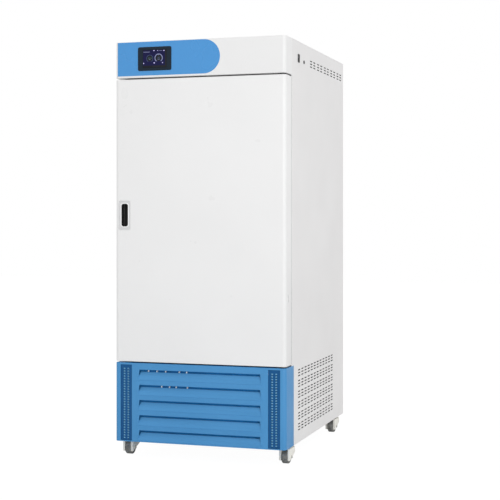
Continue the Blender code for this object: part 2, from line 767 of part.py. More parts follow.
COMPRESSOR_RADIUS = 0.078
COMPRESSOR_HEIGHT = 0.165
COMPRESSOR_PLACE = (0.110, BACK - 0.200)
CONDENSER_SIZE = (0.360, 0.044, 0.225)
CONDENSER_FRONT = CABINET_FRONT + 0.030
COOLING_FAN_RADIUS = 0.088
TRAY_SIZE = (0.220, 0.280, 0.035)
TRAY_SIDE_GAP = 0.054
TRAY_REAR_GAP = 0.050
TRAY_CORNER = 0.020
TRAY_WALL = 0.002


def compressor():
    """A welded steel pot on a foot plate with four rubber feet and an electrical cover."""
    x, y = COMPRESSOR_PLACE
    floor = PAN_FLOOR
    foot, radius, height = 0.020, COMPRESSOR_RADIUS, COMPRESSOR_HEIGHT
    seam = foot + height * 0.55
    pot = turned("compressor", [
        (0, foot + height), (radius * 0.45, foot + height - 0.003), (radius * 0.80, foot + height - 0.018),
        (radius * 0.95, foot + height - 0.045), (radius * 0.97, seam + 0.005), (radius + 0.004, seam + 0.005),
        (radius + 0.004, seam), (radius, seam), (radius, foot + 0.030), (radius * 0.80, foot + 0.006),
        (radius * 0.50, foot), (0, foot)], place("Z", x, y, floor), 16, COMPRESSOR_PAINT)
    reach = radius + 0.012
    fuse(pot, plate("compressor_foot_plate", rounded_rectangle(x - reach, x + reach, y - reach * 0.8,
                                                               y + reach * 0.8, 0.015, 3), "Z",
                    floor + foot - 0.006, floor + foot + 0.0015))
    for number, (sign_x, sign_y) in enumerate(((-1, -1), (1, -1), (1, 1), (-1, 1))):
        fuse(pot, rod(f"compressor_foot_{number}", 0.010,
                      place("Z", x + sign_x * (reach - 0.014), y + sign_y * (reach * 0.8 - 0.014), floor),
                      0, foot - 0.004, 6))
    fuse(pot, box("compressor_terminal_cover", (x - radius - 0.020, y - 0.030, floor + foot + 0.035),
                  (x - radius + 0.020, y + 0.030, floor + foot + 0.095)))


def condenser():
    """The finned condenser behind the grille, and the shroud with the motor's struts."""
    width, depth, height = CONDENSER_SIZE
    floor = PAN_FLOOR
    finned_coil("condenser_coil", CONDENSER_SIZE, (-width / 2, CONDENSER_FRONT, floor), ALUMINIUM, 12)
    front = CONDENSER_FRONT + depth + GAP
    centre_z = floor + height / 2
    opening = COOLING_FAN_RADIUS + 0.006
    lip, collar = 0.0015, 0.030
    shroud = plate("condenser_fan_shroud", rectangle(-width / 2, width / 2, floor, floor + height), "Y",
                   front, front + lip, GREY_ENAMEL, [arc((0, centre_z), opening, 0, 342, 19)])
    fuse(shroud, turned("fan_collar", [(opening + 0.002, 0), (opening + 0.002, -collar),
                                       (opening - 0.0005, -collar), (opening - 0.0005, 0)],
                        place("Y", 0, front + 0.0005, centre_z), 20, ring=True))
    motor_front = front + 0.040
    for number in range(3):
        arm = box(f"motor_arm_{number}", (0.020, -0.006, -collar - 0.002),
                  (opening + 0.001, 0.006, -collar + 0.003))
        turn = Matrix.Rotation(math.radians(90 + 120 * number), 4, "Z")
        arm.matrix_world = place("Y", 0, front, centre_z) @ turn @ arm.matrix_world
        fuse(shroud, arm)
    fuse(shroud, turned("cooling_fan_motor", [
        (0, 0.022), (SHAFT_RADIUS, 0.022), (SHAFT_RADIUS, 0.012), (0.026, 0.012), (0.030, 0.008),
        (0.030, -0.030), (0, -0.030)], place("Y", 0, motor_front, centre_z), 16))
    hub_depth = 0.018
    centre_y = motor_front - 0.012 - 0.003 - hub_depth / 2
    axis = joint_axis("condenser_fan_axis", place("Y", 0, centre_y, centre_z))
    carry(axis, fan_wheel("condenser_fan_impeller", axis.matrix_world.copy(), COOLING_FAN_RADIUS, 0.024,
                          hub_depth, 5, 26, DARK_PLASTIC))


def condensate_tray():
    width, depth, height = TRAY_SIZE
    left, rear = LEFT + TRAY_SIDE_GAP, BACK - TRAY_REAR_GAP
    outline = rounded_rectangle(left, left + width, rear - depth, rear, TRAY_CORNER, 3)
    shell("condensate_tray", outline, "Z", PAN_FLOOR, PAN_FLOOR + height, TRAY_WALL, DARK_PLASTIC,
          (0, 0, 1))


# Front grille

def louvre_profile(top, deep):
    """The pressed pocket of one louvre in section: flush at its foot, deepest at its top."""
    return [(FACE - 0.001, top - LOUVRE_HEIGHT), (FACE, top - LOUVRE_HEIGHT),
            (FACE + deep, top - LOUVRE_SLIT), (FACE + deep + 0.006, top - LOUVRE_SLIT),
            (FACE + deep + 0.006, top), (FACE - 0.001, top)]


def front_grille():
    grille = shell("lower_grille", front_outline(0, CABINET_FRONT - GAP), "Z", BASE, GRILLE_TOP,
                   GRILLE_SHEET, BLUE_ENAMEL, (0, 1, 0))
    half = LOUVRE_WIDTH / 2
    wall = GRILLE_SHEET
    tops = [LOUVRE_TOP - LOUVRE_PITCH * number for number in range(LOUVRE_COUNT)]
    slope = LOUVRE_DEPTH / (LOUVRE_HEIGHT - LOUVRE_SLIT)
    for number, top in enumerate(tops):
        foot = top - LOUVRE_HEIGHT
        section = [(FACE + wall / 2, foot + 0.0005), (FACE + wall, foot - 0.0005),
                   (FACE + LOUVRE_DEPTH + wall, top - LOUVRE_SLIT - wall / 2 * slope),
                   (FACE + LOUVRE_DEPTH + wall, top - LOUVRE_SLIT + 0.0002),
                   (FACE + wall / 2, top - LOUVRE_SLIT + 0.0002)]
        fuse(grille, plate(f"louvre_wall_{number}", section, "X", -half - wall, half + wall))
    for number, top in enumerate(tops):
        cut(grille, plate(f"louvre_pocket_{number}", louvre_profile(top, LOUVRE_DEPTH), "X", -half, half))
    low, high = BASE + STRIP_EDGE, GRILLE_TOP - STRIP_EDGE
    notch = hinge_notch(GRILLE_TOP - wall, GRILLE_TOP)
    cut(grille, notch)
    for side, label in ((-1, "left"), (1, "right")):
        centre = side * STRIP_CENTRE
        cut(grille, box(f"strip_window_{label}", (centre - STRIP_WINDOW / 2, FACE - 0.01, low),
                        (centre + STRIP_WINDOW / 2, FACE + 0.01, high)))
        reach = STRIP_WINDOW / 2 + STRIP_MARGIN / 2
        rear = FACE + wall + GAP
        box(f"perforated_strip_{label}", (centre - reach, rear, low - STRIP_MARGIN),
            (centre + reach, rear + STRIP_SHEET, high + STRIP_MARGIN), DARK_BLUE)


# Control fascia

def overlay_form(name, grow, outset, thickness, finish=None):
    """The overlay film from the round corner to its half-round end, larger by grow at its edges."""
    low = FASCIA_BOTTOM + OVERLAY_BOTTOM_MARGIN - grow
    high = TOP - OVERLAY_TOP_MARGIN + grow
    radius = (high - low) / 2
    left, front = LEFT - outset, FACE - outset
    corner = CORNER_RADIUS + outset
    tip = OVERLAY_TIP + grow
    start = 270 - OVERLAY_WRAP - math.degrees(grow / corner)
    path = arc((left + corner, front + corner), corner, start, 270, 3) + [(tip, front)]
    sheet = folded_sheet(name, path, low - 0.002, high + 0.002, thickness, finish)
    end = [(LEFT - 0.01, low)] + arc((tip - radius, low + radius), radius, -90, 90, 16)
    end += [(LEFT - 0.01, high)]
    keep(sheet, plate(name + "_end", end, "Y", FACE - 0.01, CABINET_FRONT + 0.01))
    return sheet


def centred(centre, width, height):
    return rectangle(centre[0] - width / 2, centre[0] + width / 2,
                     centre[1] - height / 2, centre[1] + height / 2)


def control_front():
    fascia = shell("control_fascia", front_outline(0, CABINET_FRONT - GAP), "Z", FASCIA_BOTTOM, TOP,
                   FASCIA_WALL, WHITE_ENAMEL, (0, 1, 0))
    overlay = overlay_form("fascia_overlay", 0, 0, OVERLAY_SHEET, BLUE_FILM)
    centre = (DISPLAY_LEFT + DISPLAY_WIDTH / 2, DISPLAY_BOTTOM + DISPLAY_HEIGHT / 2)
    body_width, body_height = DISPLAY_WIDTH - 2 * DISPLAY_LIP, DISPLAY_HEIGHT - 2 * DISPLAY_LIP
    window = centred(centre, body_width + 2 * GAP, body_height + 2 * GAP)
    opening = plate("display_window", window, "Y", FACE - 0.01, FACE + 0.01)
    cut(fascia, overlay_form("overlay_rebate", GAP, 0.001, 0.001 + OVERLAY_SHEET + GAP), opening)
    cut(fascia, hinge_notch(FASCIA_BOTTOM, FASCIA_BOTTOM + FASCIA_WALL))
    cut(overlay, opening)

    front = FACE - HANDLE_PROUD
    half_w, half_h = DISPLAY_WIDTH / 2, DISPLAY_HEIGHT / 2
    bezel = plate("display_bezel", rounded_rectangle(centre[0] - half_w, centre[0] + half_w,
                                                     centre[1] - half_h, centre[1] + half_h, 0.004, 3),
                  "Y", front, FACE - GAP, DARK_PLASTIC)
    body_back = FACE + DISPLAY_BODY_DEPTH
    ledge = front + SCREEN_RECESS + SCREEN_THICKNESS + GAP
    fuse(bezel, plate("display_body", centred(centre, body_width, body_height), "Y", FACE - 2 * GAP,
                      body_back))
    cut(bezel, plate("screen_seat", centred(centre, SCREEN_WIDTH, SCREEN_HEIGHT), "Y", front - 0.01, ledge),
        plate("screen_back", centred(centre, SCREEN_WIDTH - 2 * SCREEN_LEDGE,
                                     SCREEN_HEIGHT - 2 * SCREEN_LEDGE), "Y", ledge - 0.001, body_back + 0.01))
    plate("touch_panel", centred(centre, SCREEN_WIDTH - 2 * GAP, SCREEN_HEIGHT - 2 * GAP), "Y",
          front + SCREEN_RECESS, front + SCREEN_RECESS + SCREEN_THICKNESS, SCREEN_GLASS)
    board = plate("control_board", centred(centre, body_width, body_height), "Y", body_back + GAP,
                  body_back + GAP + 0.0016, BOARD)
    for number, (dx, dz, size, tall) in enumerate(((-0.035, 0.015, 0.018, 0.014),
                                                   (0.010, 0.010, 0.026, 0.003),
                                                   (0.040, -0.018, 0.012, 0.010))):
        x, z = centre[0] + dx, centre[1] + dz
        fuse(board, box(f"board_part_{number}", (x - size / 2, body_back + 0.001, z - size / 2),
                        (x + size / 2, body_back + GAP + 0.0016 + tall, z + size / 2)))


def power_controls(side_panel, rear_panel):
    y, z = FACE + SWITCH_DEPTH_FROM_FACE, SWITCH_HEIGHT
    body = (SWITCH_BEZEL[0] - 2 * SWITCH_LIP, SWITCH_BEZEL[1] - 2 * SWITCH_LIP)
    cavity = (ROCKER_SIZE[0] + 2 * GAP, ROCKER_SIZE[1] + 2 * ROCKER_CLEARANCE)
    back = RIGHT - 0.020
    cut(side_panel, plate("switch_window", centred((y, z), body[0] + 2 * GAP, body[1] + 2 * GAP), "X",
                          RIGHT - 0.01, RIGHT + 0.01))
    housing = plate("switch_housing", centred((y, z), body[0], body[1]), "X", back, RIGHT + 2 * GAP,
                    BLACK_PLASTIC)
    half = (SWITCH_BEZEL[0] / 2, SWITCH_BEZEL[1] / 2)
    fuse(housing, plate("switch_bezel", rounded_rectangle(y - half[0], y + half[0], z - half[1], z + half[1],
                                                          0.003, 3), "X", RIGHT + GAP, RIGHT + SWITCH_PROUD))
    cut(housing, plate("rocker_cavity", centred((y, z), *cavity), "X", RIGHT - 0.0125, RIGHT + 0.01))
    pivot_x = RIGHT - 0.003
    tall = ROCKER_SIZE[1] / 2
    profile = [(-0.006, -tall), (0.0035, -tall), (0.0018, 0), (0.0035, tall), (-0.006, tall)]
    rocker = plate("power_rocker", profile, "Y", -ROCKER_SIZE[0] / 2, ROCKER_SIZE[0] / 2, BLACK_PLASTIC)
    rocker.matrix_world = (Matrix.Translation((pivot_x, y, z))
                           @ Matrix.Rotation(math.radians(ROCKER_TILT), 4, "Y") @ rocker.matrix_world)
    bpy.context.view_layer.update()
    carry(joint_axis("power_rocker_axis", Matrix.Translation((pivot_x, y, z))), rocker)

    fuse_y = FACE + FUSE_DEPTH_FROM_FACE
    neck, cap = FUSE_RADIUS - 0.001, FUSE_RADIUS
    profile = [(0, 0.002), (cap - 0.001, 0.002), (cap, 0.001), (cap, GAP), (neck, GAP), (neck, -0.022),
               (0, -0.022)]
    turned("fuse_holder", profile, place("X", RIGHT, fuse_y, z - 0.006), 16, BLACK_PLASTIC)
    cut(side_panel, rod("fuse_hole", neck + GAP, place("X", RIGHT, fuse_y, z - 0.006), -0.01, 0.01, 16))

    inlet_x, inlet_z = LEFT + 0.100, BASE + 0.070
    inlet = plate("power_inlet", rounded_rectangle(inlet_x - 0.024, inlet_x + 0.024, inlet_z - 0.015,
                                                   inlet_z + 0.015, 0.003, 2), "Y", BACK - 0.026, BACK,
                  BLACK_PLASTIC)
    cut(inlet, plate("inlet_socket", centred((inlet_x, inlet_z), 0.026, 0.018), "Y", BACK - 0.020,
                     BACK + 0.01))
    grown = 0.024 + GAP
    cut(rear_panel, plate("inlet_window", rounded_rectangle(inlet_x - grown, inlet_x + grown,
                                                            inlet_z - 0.015 - GAP, inlet_z + 0.015 + GAP,
                                                            0.003 + GAP, 2), "Y", BACK - 0.01, BACK + 0.01))


# Door and hinges

def hinge_notch(low, high):
    """Room for a hinge bracket's tab in the wall of a front piece above or below the door."""
    half = BRACKET_WIDTH / 2 + 0.001
    return box(f"hinge_notch_{round(low * 1000)}", (HINGE_X - half, CABINET_FRONT - BRACKET_THICKNESS - 0.001,
                                                   low - 0.001),
               (HINGE_X + half, CABINET_FRONT + 0.001, high + 0.001))


def hinge_bracket(name, plate_low, tab_low, tab_high, pin_low, pin_high, washer=None):
    """A bracket on the cabinet front, with a pin that the door turns on."""
    half = BRACKET_WIDTH / 2
    rear = CABINET_FRONT - GAP
    outline = [(HINGE_X + half, rear), (HINGE_X - half, rear)]
    outline += arc((HINGE_X, HINGE_Y), half - 0.001, 180, 360, 8)
    bracket = plate(name, outline, "Z", plate_low, plate_low + BRACKET_THICKNESS, ZINC)
    fuse(bracket, box(name + "_tab", (HINGE_X - half, rear - BRACKET_THICKNESS, tab_low),
                      (HINGE_X + half, rear, tab_high)),
         rod(name + "_pin", PIN_RADIUS, place("Z", HINGE_X, HINGE_Y, 0), pin_low, pin_high, 16))
    if washer:
        fuse(bracket, rod(name + "_washer", PIN_RADIUS * 2, place("Z", HINGE_X, HINGE_Y, 0), *washer, 16))


def hinges():
    low_plate = GRILLE_TOP + (GRILLE_REVEAL - BRACKET_THICKNESS) * 0.4
    hinge_bracket("hinge_lower", low_plate, low_plate - TAB_HEIGHT, low_plate + BRACKET_THICKNESS / 2,
                  low_plate + 0.001, DOOR_BOTTOM + PIN_LENGTH,
                  (low_plate + BRACKET_THICKNESS - 0.0005, DOOR_BOTTOM - GAP))
    high_plate = DOOR_TOP + (FASCIA_REVEAL - BRACKET_THICKNESS) * 0.5
    hinge_bracket("hinge_upper", high_plate, high_plate + BRACKET_THICKNESS / 2,
                  high_plate + BRACKET_THICKNESS + TAB_HEIGHT, DOOR_TOP - PIN_LENGTH, high_plate + 0.001)


def door():
    skin = shell("door_outer_skin", front_outline(0, DOOR_BACK), "Z", DOOR_BOTTOM, DOOR_TOP, DOOR_SHEET,
                 WHITE_ENAMEL, (0, 1, 0))
    inset = DOOR_SHEET + GAP
    low, high = DOOR_BOTTOM + inset, DOOR_TOP - inset
    foam_back = DOOR_BACK - INNER_PANEL - GAP
    foam = plate("door_insulation", front_outline(inset, foam_back), "Z", low, high, FOAM)

    half = CHAMBER_HALF - PLUG_CLEARANCE
    plug_low, plug_high = CHAMBER_BOTTOM + PLUG_CLEARANCE, CHAMBER_TOP - PLUG_CLEARANCE
    inner = box("door_inner_liner", (LEFT + inset, DOOR_BACK - INNER_PANEL, low),
                (RIGHT - inset, DOOR_BACK, high), WHITE_PLASTIC)
    plug_tip = DOOR_BACK + PLUG_DEPTH
    chamfer = 0.010

    def plug(name, shrink, root):
        edge = half - shrink
        section = [(-edge, root), (edge, root), (edge, plug_tip - shrink - chamfer),
                   (edge - chamfer, plug_tip - shrink), (-edge + chamfer, plug_tip - shrink),
                   (-edge, plug_tip - shrink - chamfer)]
        return plate(name, section, "Z", plug_low + shrink, plug_high - shrink)

    fuse(inner, plug("liner_plug", 0, DOOR_BACK - INNER_PANEL / 2))
    cut(inner, plug("liner_plug_hollow", PLUG_WALL, DOOR_BACK - INNER_PANEL - 0.001))
    fuse(foam, plug("foam_plug", PLUG_WALL + GAP, foam_back - 0.001))

    outer_x = RIGHT - GASKET_EDGE
    outer_low, outer_high = DOOR_BOTTOM + GASKET_EDGE, DOOR_TOP - GASKET_EDGE
    plate("door_gasket", rectangle(-outer_x, outer_x, outer_low, outer_high), "Y", DOOR_BACK + GAP,
          CABINET_FRONT - GAP, GASKET_RUBBER,
          [rectangle(-outer_x + GASKET_WIDTH, outer_x - GASKET_WIDTH, outer_low + GASKET_WIDTH,
                     outer_high - GASKET_WIDTH)])

    x, z = HANDLE_CENTRE, HANDLE_HEIGHT
    plate("handle_surround", rounded_rectangle(x - SURROUND_WIDTH / 2, x + SURROUND_WIDTH / 2,
                                               z - SURROUND_HEIGHT / 2, z + SURROUND_HEIGHT / 2, 0.006, 3),
          "Y", FACE - HANDLE_PROUD, FACE - GAP, WHITE_PLASTIC,
          [rounded_rectangle(x - GRIP_WIDTH / 2, x + GRIP_WIDTH / 2, z - GRIP_HEIGHT / 2,
                             z + GRIP_HEIGHT / 2, 0.007, 3)])
    cup_left, cup_right = x - GRIP_WIDTH / 2 - CUP_UNDERCUT, x + GRIP_WIDTH / 2 + 0.003
    cup_low, cup_high = z - GRIP_HEIGHT / 2 - 0.003, z + GRIP_HEIGHT / 2 + 0.003

    def around_cup(name, grow, front, back, finish=None):
        ring = rounded_rectangle(cup_left - grow, cup_right + grow, cup_low - grow, cup_high + grow,
                                 0.006 + grow, 3)
        return plate(name, ring, "Y", front, back, finish)

    shell("handle_cup", rounded_rectangle(cup_left, cup_right, cup_low, cup_high, 0.006, 3), "Y", FACE,
          FACE + CUP_DEPTH, CUP_WALL, BLACK_PLASTIC, (0, -1, 0))
    cut(skin, around_cup("cup_window", GAP, FACE - 0.01, FACE + 0.01))
    cut(foam, around_cup("cup_pocket", GAP, FACE - 0.01, FACE + CUP_DEPTH + GAP))

    bore = PIN_RADIUS + PIN_CLEARANCE
    for label, bore_low, bore_high in (("low", DOOR_BOTTOM - 0.01, DOOR_BOTTOM + PIN_LENGTH + 0.001),
                                       ("high", DOOR_TOP - PIN_LENGTH - 0.001, DOOR_TOP + 0.01)):
        tool = rod(f"pin_bore_{label}", bore, place("Z", HINGE_X, HINGE_Y, 0), bore_low, bore_high, 16)
        cut(skin, tool)
        cut(foam, tool)
    bpy.context.view_layer.update()
    axis = joint_axis("door_hinge_axis", Matrix.Translation((HINGE_X, HINGE_Y, DOOR_BOTTOM)))
    carry(axis, skin, foam, inner, *(parts.objects[name] for name in
                                     ("door_gasket", "handle_surround", "handle_cup")))


# Casters

def caster_top(name, x, y):
    """A top plate with a swivel race and a king pin under it."""
    size_x, size_y, sheet = CASTER_PLATE
    low = CASTER_PLATE_BOTTOM
    outline = rounded_rectangle(x - size_x / 2, x + size_x / 2, y - size_y / 2, y + size_y / 2, 0.005, 2)
    top = plate(name, outline, "Z", low, low + sheet, ZINC)
    head_top = FORK_CROWN - GAP
    profile = [(0, low + sheet / 2), (RACE_RADIUS - 0.002, low + sheet / 2),
               (RACE_RADIUS - 0.002, low - 0.001), (RACE_RADIUS, RACE_BOTTOM),
               (PIN_RADIUS, RACE_BOTTOM), (PIN_RADIUS, head_top),
               (0.0065, head_top), (0.0065, head_top - 0.0015), (0, head_top - 0.0015)]
    fuse(top, turned(name + "_race", profile, place("Z", x, y, 0), 12))


def caster_fork(name, placing, pedal_pin):
    """A hooded fork: a crown that turns on the king pin, two thick cheeks and the axle."""
    outer = FORK_INNER + CHEEK_THICKNESS
    rear, front = RACE_RADIUS - 0.003, 0.0025 - CASTER_TRAIL - WHEEL_RADIUS
    edge = 0.0005
    outline = [(-outer - edge, rear + edge), (-outer - edge, front - edge)]
    outline += [(outer + edge, front - edge), (outer + edge, rear + edge)]
    outline += arc((0, 0), RACE_RADIUS, 58, 122, 3)
    bore = arc((0, 0), PIN_RADIUS + PIN_CLEARANCE, 10, 340, 11)
    fork = plate(name, outline, "Z", FORK_CROWN, FORK_TOP, ZINC, [bore])
    fork.matrix_world = placing @ fork.matrix_world
    hub = (-CASTER_TRAIL, WHEEL_RADIUS)
    top = FORK_CROWN + 0.001
    waist = rear - 0.012
    cheek = [(rear, FORK_CROWN - 0.012), (rear, top), (front, top), (front, CHEEK_FOOT + 0.0037),
             (front + 0.0020, CHEEK_FOOT + 0.0010), (front + 0.0055, CHEEK_FOOT),
             (front + 0.0085, CHEEK_FOOT + 0.0032), (waist, CHEEK_SILL), (waist, FORK_CROWN - 0.016)]
    for sign, label in ((-1, "left"), (1, "right")):
        near, far = sorted((sign * FORK_INNER, sign * outer))
        side = plate(f"{name}_cheek_{label}", cheek, "X", near, far)
        side.matrix_world = placing @ side.matrix_world
        fuse(fork, side)
    fuse(fork, rod(name + "_axle", AXLE_RADIUS, placing @ place("X", 0, *hub), -outer - 0.002,
                   outer + 0.002, 10))
    if pedal_pin:
        fuse(fork, rod(name + "_pedal_pin", PEDAL_PIN, pedal_pin, -outer - 0.0006, outer + 0.0006, 8))
    return fork


def caster_wheel(name, placing):
    """A rubber-tyred wheel, with one flat of its tread down on the floor."""
    grow = 1 / math.cos(math.pi / WHEEL_SIDES)
    tread, shoulder, half = WHEEL_RADIUS * grow, (WHEEL_RADIUS - 0.0020) * grow, WHEEL_WIDTH / 2
    bore = AXLE_RADIUS + SHAFT_CLEARANCE
    turn = Matrix.Rotation(math.pi / WHEEL_SIDES, 4, "Z")
    return turned(name, [(shoulder, half), (tread, half - 0.003), (tread, -half + 0.003),
                         (shoulder, -half), (bore, -half), (bore, half)], placing @ turn, WHEEL_SIDES,
                  WHEEL_RUBBER, ring=True)


def brake_pedal(name, placing):
    """A foot pedal on a cross pin, with a shoe that swings towards the tread when pressed."""
    half = FORK_INNER - GAP
    section = [(0.030, 0.0035), (0.030, 0.0055), (0.020, 0.0022), (0.0, 0.0030), (-0.0030, 0.0),
               (-0.0050, -0.0092), (-0.0030, -0.0102), (0.0012, -0.0030), (0.0040, -0.0010),
               (0.022, -0.0005)]
    pedal = plate(name, section, "X", -half, half, WHITE_PLASTIC)
    pedal.matrix_world = placing @ PLANES["X"].inverted() @ pedal.matrix_world
    barrel = rod(name + "_barrel", 0.0032, placing, -half - 0.00005, half + 0.00005, 12)
    return cut(fuse(pedal, barrel), rod(name + "_bore", PEDAL_PIN + SHAFT_CLEARANCE, placing,
                                        -half - 0.005, half + 0.005, 12))


def casters():
    for side, side_label in ((-1, "left"), (1, "right")):
        for y, row_label in ((CASTER_FRONT_Y, "front"), (CASTER_REAR_Y, "rear")):
            label = f"{row_label}_{side_label}"
            x = side * (RIGHT - CASTER_EDGE_X)
            caster_top(f"caster_plate_{label}", x, y)
            stem = Matrix.Translation((x, y, 0)) @ Matrix.Rotation(math.radians(-CASTER_TURN), 4, "Z")
            pivot = stem @ place("X", 0, RACE_RADIUS - 0.008, FORK_CROWN - 0.0065)
            braked = row_label == "front"
            swivel = joint_axis(f"caster_swivel_{label}", stem)
            fork = caster_fork(f"caster_fork_{label}", stem, pivot if braked else None)
            axle = stem @ place("X", 0, -CASTER_TRAIL, WHEEL_RADIUS)
            spin = joint_axis(f"caster_axle_{label}", axle, swivel)
            wheel = caster_wheel(f"caster_wheel_{label}", axle)
            bpy.context.view_layer.update()
            carry(swivel, fork)
            carry(spin, wheel)
            if braked:
                pedal_axis = joint_axis(f"brake_axis_{label}", pivot, swivel)
                carry(pedal_axis, brake_pedal(f"brake_pedal_{label}", pivot))


right_panel = side_panels()
back_panel = top_and_rear()
base_and_deck()
insulated_box()
shelves()
shelf_track("shelf_track_left", -1)
shelf_track("shelf_track_right", 1)
chamber_rear()
compressor()
condenser()
condensate_tray()
front_grille()
control_front()
power_controls(right_panel, back_panel)
hinges()
door()
casters()

for part in parts.objects:
    if part.type == "MESH":
        part.data.shade_smooth()
        part.data.set_sharp_from_angle(angle=math.radians(35))
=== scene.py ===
# %% [markdown]
# # A refrigerated incubator, finished piece by piece
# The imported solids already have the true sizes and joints, so they are the frame of this lesson.
# Each step below takes one part of the real cabinet, says what it is made of, and either gives
# its solid a finish or models a finer piece that takes its place.

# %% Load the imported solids
import json
import math

import bmesh
import bpy
from mathutils import Matrix, Vector


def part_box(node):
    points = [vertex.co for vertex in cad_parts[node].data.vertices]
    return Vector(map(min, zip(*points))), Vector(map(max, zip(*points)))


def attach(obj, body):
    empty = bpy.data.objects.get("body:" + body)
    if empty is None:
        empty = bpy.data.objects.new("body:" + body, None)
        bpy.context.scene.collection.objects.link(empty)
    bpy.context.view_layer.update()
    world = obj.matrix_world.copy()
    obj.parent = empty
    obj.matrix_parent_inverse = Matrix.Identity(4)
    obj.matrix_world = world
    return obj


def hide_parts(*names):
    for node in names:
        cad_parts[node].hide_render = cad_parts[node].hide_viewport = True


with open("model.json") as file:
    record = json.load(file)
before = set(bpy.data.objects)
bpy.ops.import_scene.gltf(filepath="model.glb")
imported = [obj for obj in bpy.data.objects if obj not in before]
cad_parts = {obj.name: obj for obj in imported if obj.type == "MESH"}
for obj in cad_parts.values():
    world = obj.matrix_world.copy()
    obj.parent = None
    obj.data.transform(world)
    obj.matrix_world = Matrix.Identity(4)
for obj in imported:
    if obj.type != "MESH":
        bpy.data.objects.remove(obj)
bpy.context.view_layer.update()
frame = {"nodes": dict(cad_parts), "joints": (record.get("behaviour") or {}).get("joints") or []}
solids = frame["nodes"]
print("solids loaded:", len(solids))

# %% [markdown]
# ## Modelling helpers
# Most pieces start as a cube or a cylinder at the size and place of a solid. They are then cut,
# extruded and bevelled in edit mode, as they would be by hand, and modifiers finish the edges.
# Faces and edges are chosen in code by where they lie.

# %% Choose, add and apply
def only(*objects):
    """Leave edit mode and select nothing but these objects."""
    if bpy.context.object and bpy.context.object.mode != "OBJECT":
        bpy.ops.object.mode_set(mode="OBJECT")
    bpy.ops.object.select_all(action="DESELECT")
    for obj in objects:
        obj.select_set(True)
        bpy.context.view_layer.objects.active = obj


def keep_new(name):
    """Name the primitive that was just added and apply its place to its mesh."""
    obj = bpy.context.object
    obj.name = name
    obj.data.name = name
    bpy.ops.object.transform_apply(location=True, rotation=True, scale=True)
    return obj


def block(name, low, high):
    """A cube primitive that fills the box between two corners."""
    only()
    low, high = Vector(low), Vector(high)
    bpy.ops.mesh.primitive_cube_add(size=1, location=(low + high) / 2, scale=high - low)
    return keep_new(name)


def round_bar(name, start, end, radius, sides=24):
    """A cylinder primitive between two points."""
    only()
    start, end = Vector(start), Vector(end)
    turn = (end - start).to_track_quat("Z", "Y").to_euler()
    bpy.ops.mesh.primitive_cylinder_add(vertices=sides, radius=radius, depth=(end - start).length,
                                        location=(start + end) / 2, rotation=turn)
    return keep_new(name)


def choose(obj, kind, test):
    """Open a piece in edit mode with the faces, edges or points that pass a test selected."""
    only(obj)
    bpy.ops.object.mode_set(mode="EDIT")
    bpy.ops.mesh.select_mode(type=kind)
    bpy.ops.mesh.select_all(action="DESELECT")
    mesh = bmesh.from_edit_mesh(obj.data)
    for item in {"FACE": mesh.faces, "EDGE": mesh.edges, "VERT": mesh.verts}[kind]:
        if test(item):
            item.select_set(True)
    bmesh.update_edit_mesh(obj.data)


def close_edit():
    bpy.ops.object.mode_set(mode="OBJECT")


def facing(axis, way=-1):
    """A test for faces that look along an axis: 0, 1 or 2 for X, Y or Z."""
    return lambda face: face.normal[axis] * way > 0.99


def press(obj, test, *steps):
    """Inset the chosen faces in steps of a margin and a depth."""
    choose(obj, "FACE", test)
    for margin, depth in steps:
        bpy.ops.mesh.inset(thickness=margin, depth=depth)
    close_edit()


def modify(obj, kind, **settings):
    """Add one modifier, set it and apply it."""
    only(obj)
    step = obj.modifiers.new(kind.lower(), kind)
    for key, value in settings.items():
        setattr(step, key, value)
    bpy.ops.object.modifier_apply(modifier=step.name)
    return obj


def ends(test):
    """A test for edges whose two ends both pass a test of their place."""
    return lambda edge: all(test(point.co) for point in edge.verts)


def round_edges(obj, test, width, segments):
    """Round the edges that pass a test."""
    choose(obj, "EDGE", test)
    bpy.ops.mesh.bevel(offset=width, segments=segments)
    close_edit()
    return obj


def rounded_block(name, low, high, axis, radius, segments=6):
    """A block whose four edges along one axis are round: 0, 1 or 2 for X, Y or Z."""
    return round_edges(block(name, low, high), lambda e: abs(
        (e.verts[0].co - e.verts[1].co).normalized()[axis]) > 0.999, radius, segments)


def soften(obj, width, segments=3, angle=30):
    """Round every edge that is sharper than an angle."""
    return modify(obj, "BEVEL", width=width, segments=segments, limit_method="ANGLE",
                  angle_limit=math.radians(angle))


PAST = 0.01  # how far a cutting tool reaches past the piece


def combine(obj, tool, operation):
    """Cut, join or keep with another closed piece, which is used up."""
    modify(obj, "BOOLEAN", operation=operation, object=tool, solver="EXACT")
    bpy.data.objects.remove(tool)
    return obj


def join(name, objects):
    only(*objects)
    bpy.context.view_layer.objects.active = objects[0]
    bpy.ops.object.join()
    objects[0].name = name
    return objects[0]


def copy_of(obj, name, placing=Matrix.Identity(4)):
    """A copy with a mesh of its own, moved or turned by a matrix."""
    twin = obj.copy()
    twin.data = obj.data.copy()
    twin.name = name
    bpy.context.scene.collection.objects.link(twin)
    twin.data.transform(placing)
    return twin


def repaint(material, *objects):
    """Swap the colour of some pieces for a finish."""
    for obj in objects:
        obj.data.materials.clear()
        obj.data.materials.append(material)


SMOOTH_BELOW = math.radians(35)


def finish(obj, material, stands_for=(), body="cabinet"):
    """Smooth a piece, give it its finish and tie it to the body that it moves with."""
    only(obj)
    bpy.ops.object.shade_smooth_by_angle(angle=SMOOTH_BELOW)
    repaint(material, obj)
    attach(obj, body)
    if stands_for:
        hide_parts(*stands_for)
    return obj


print("helpers ready")

# %% [markdown]
# ## Finishes
# A finish is a Principled shader whose plain numbers sit on its own sockets. What changes over
# the surface, such as the orange peel of powder paint or the lines of brushed steel, comes from
# noise on object coordinates, so it stays put when a door or a wheel moves.

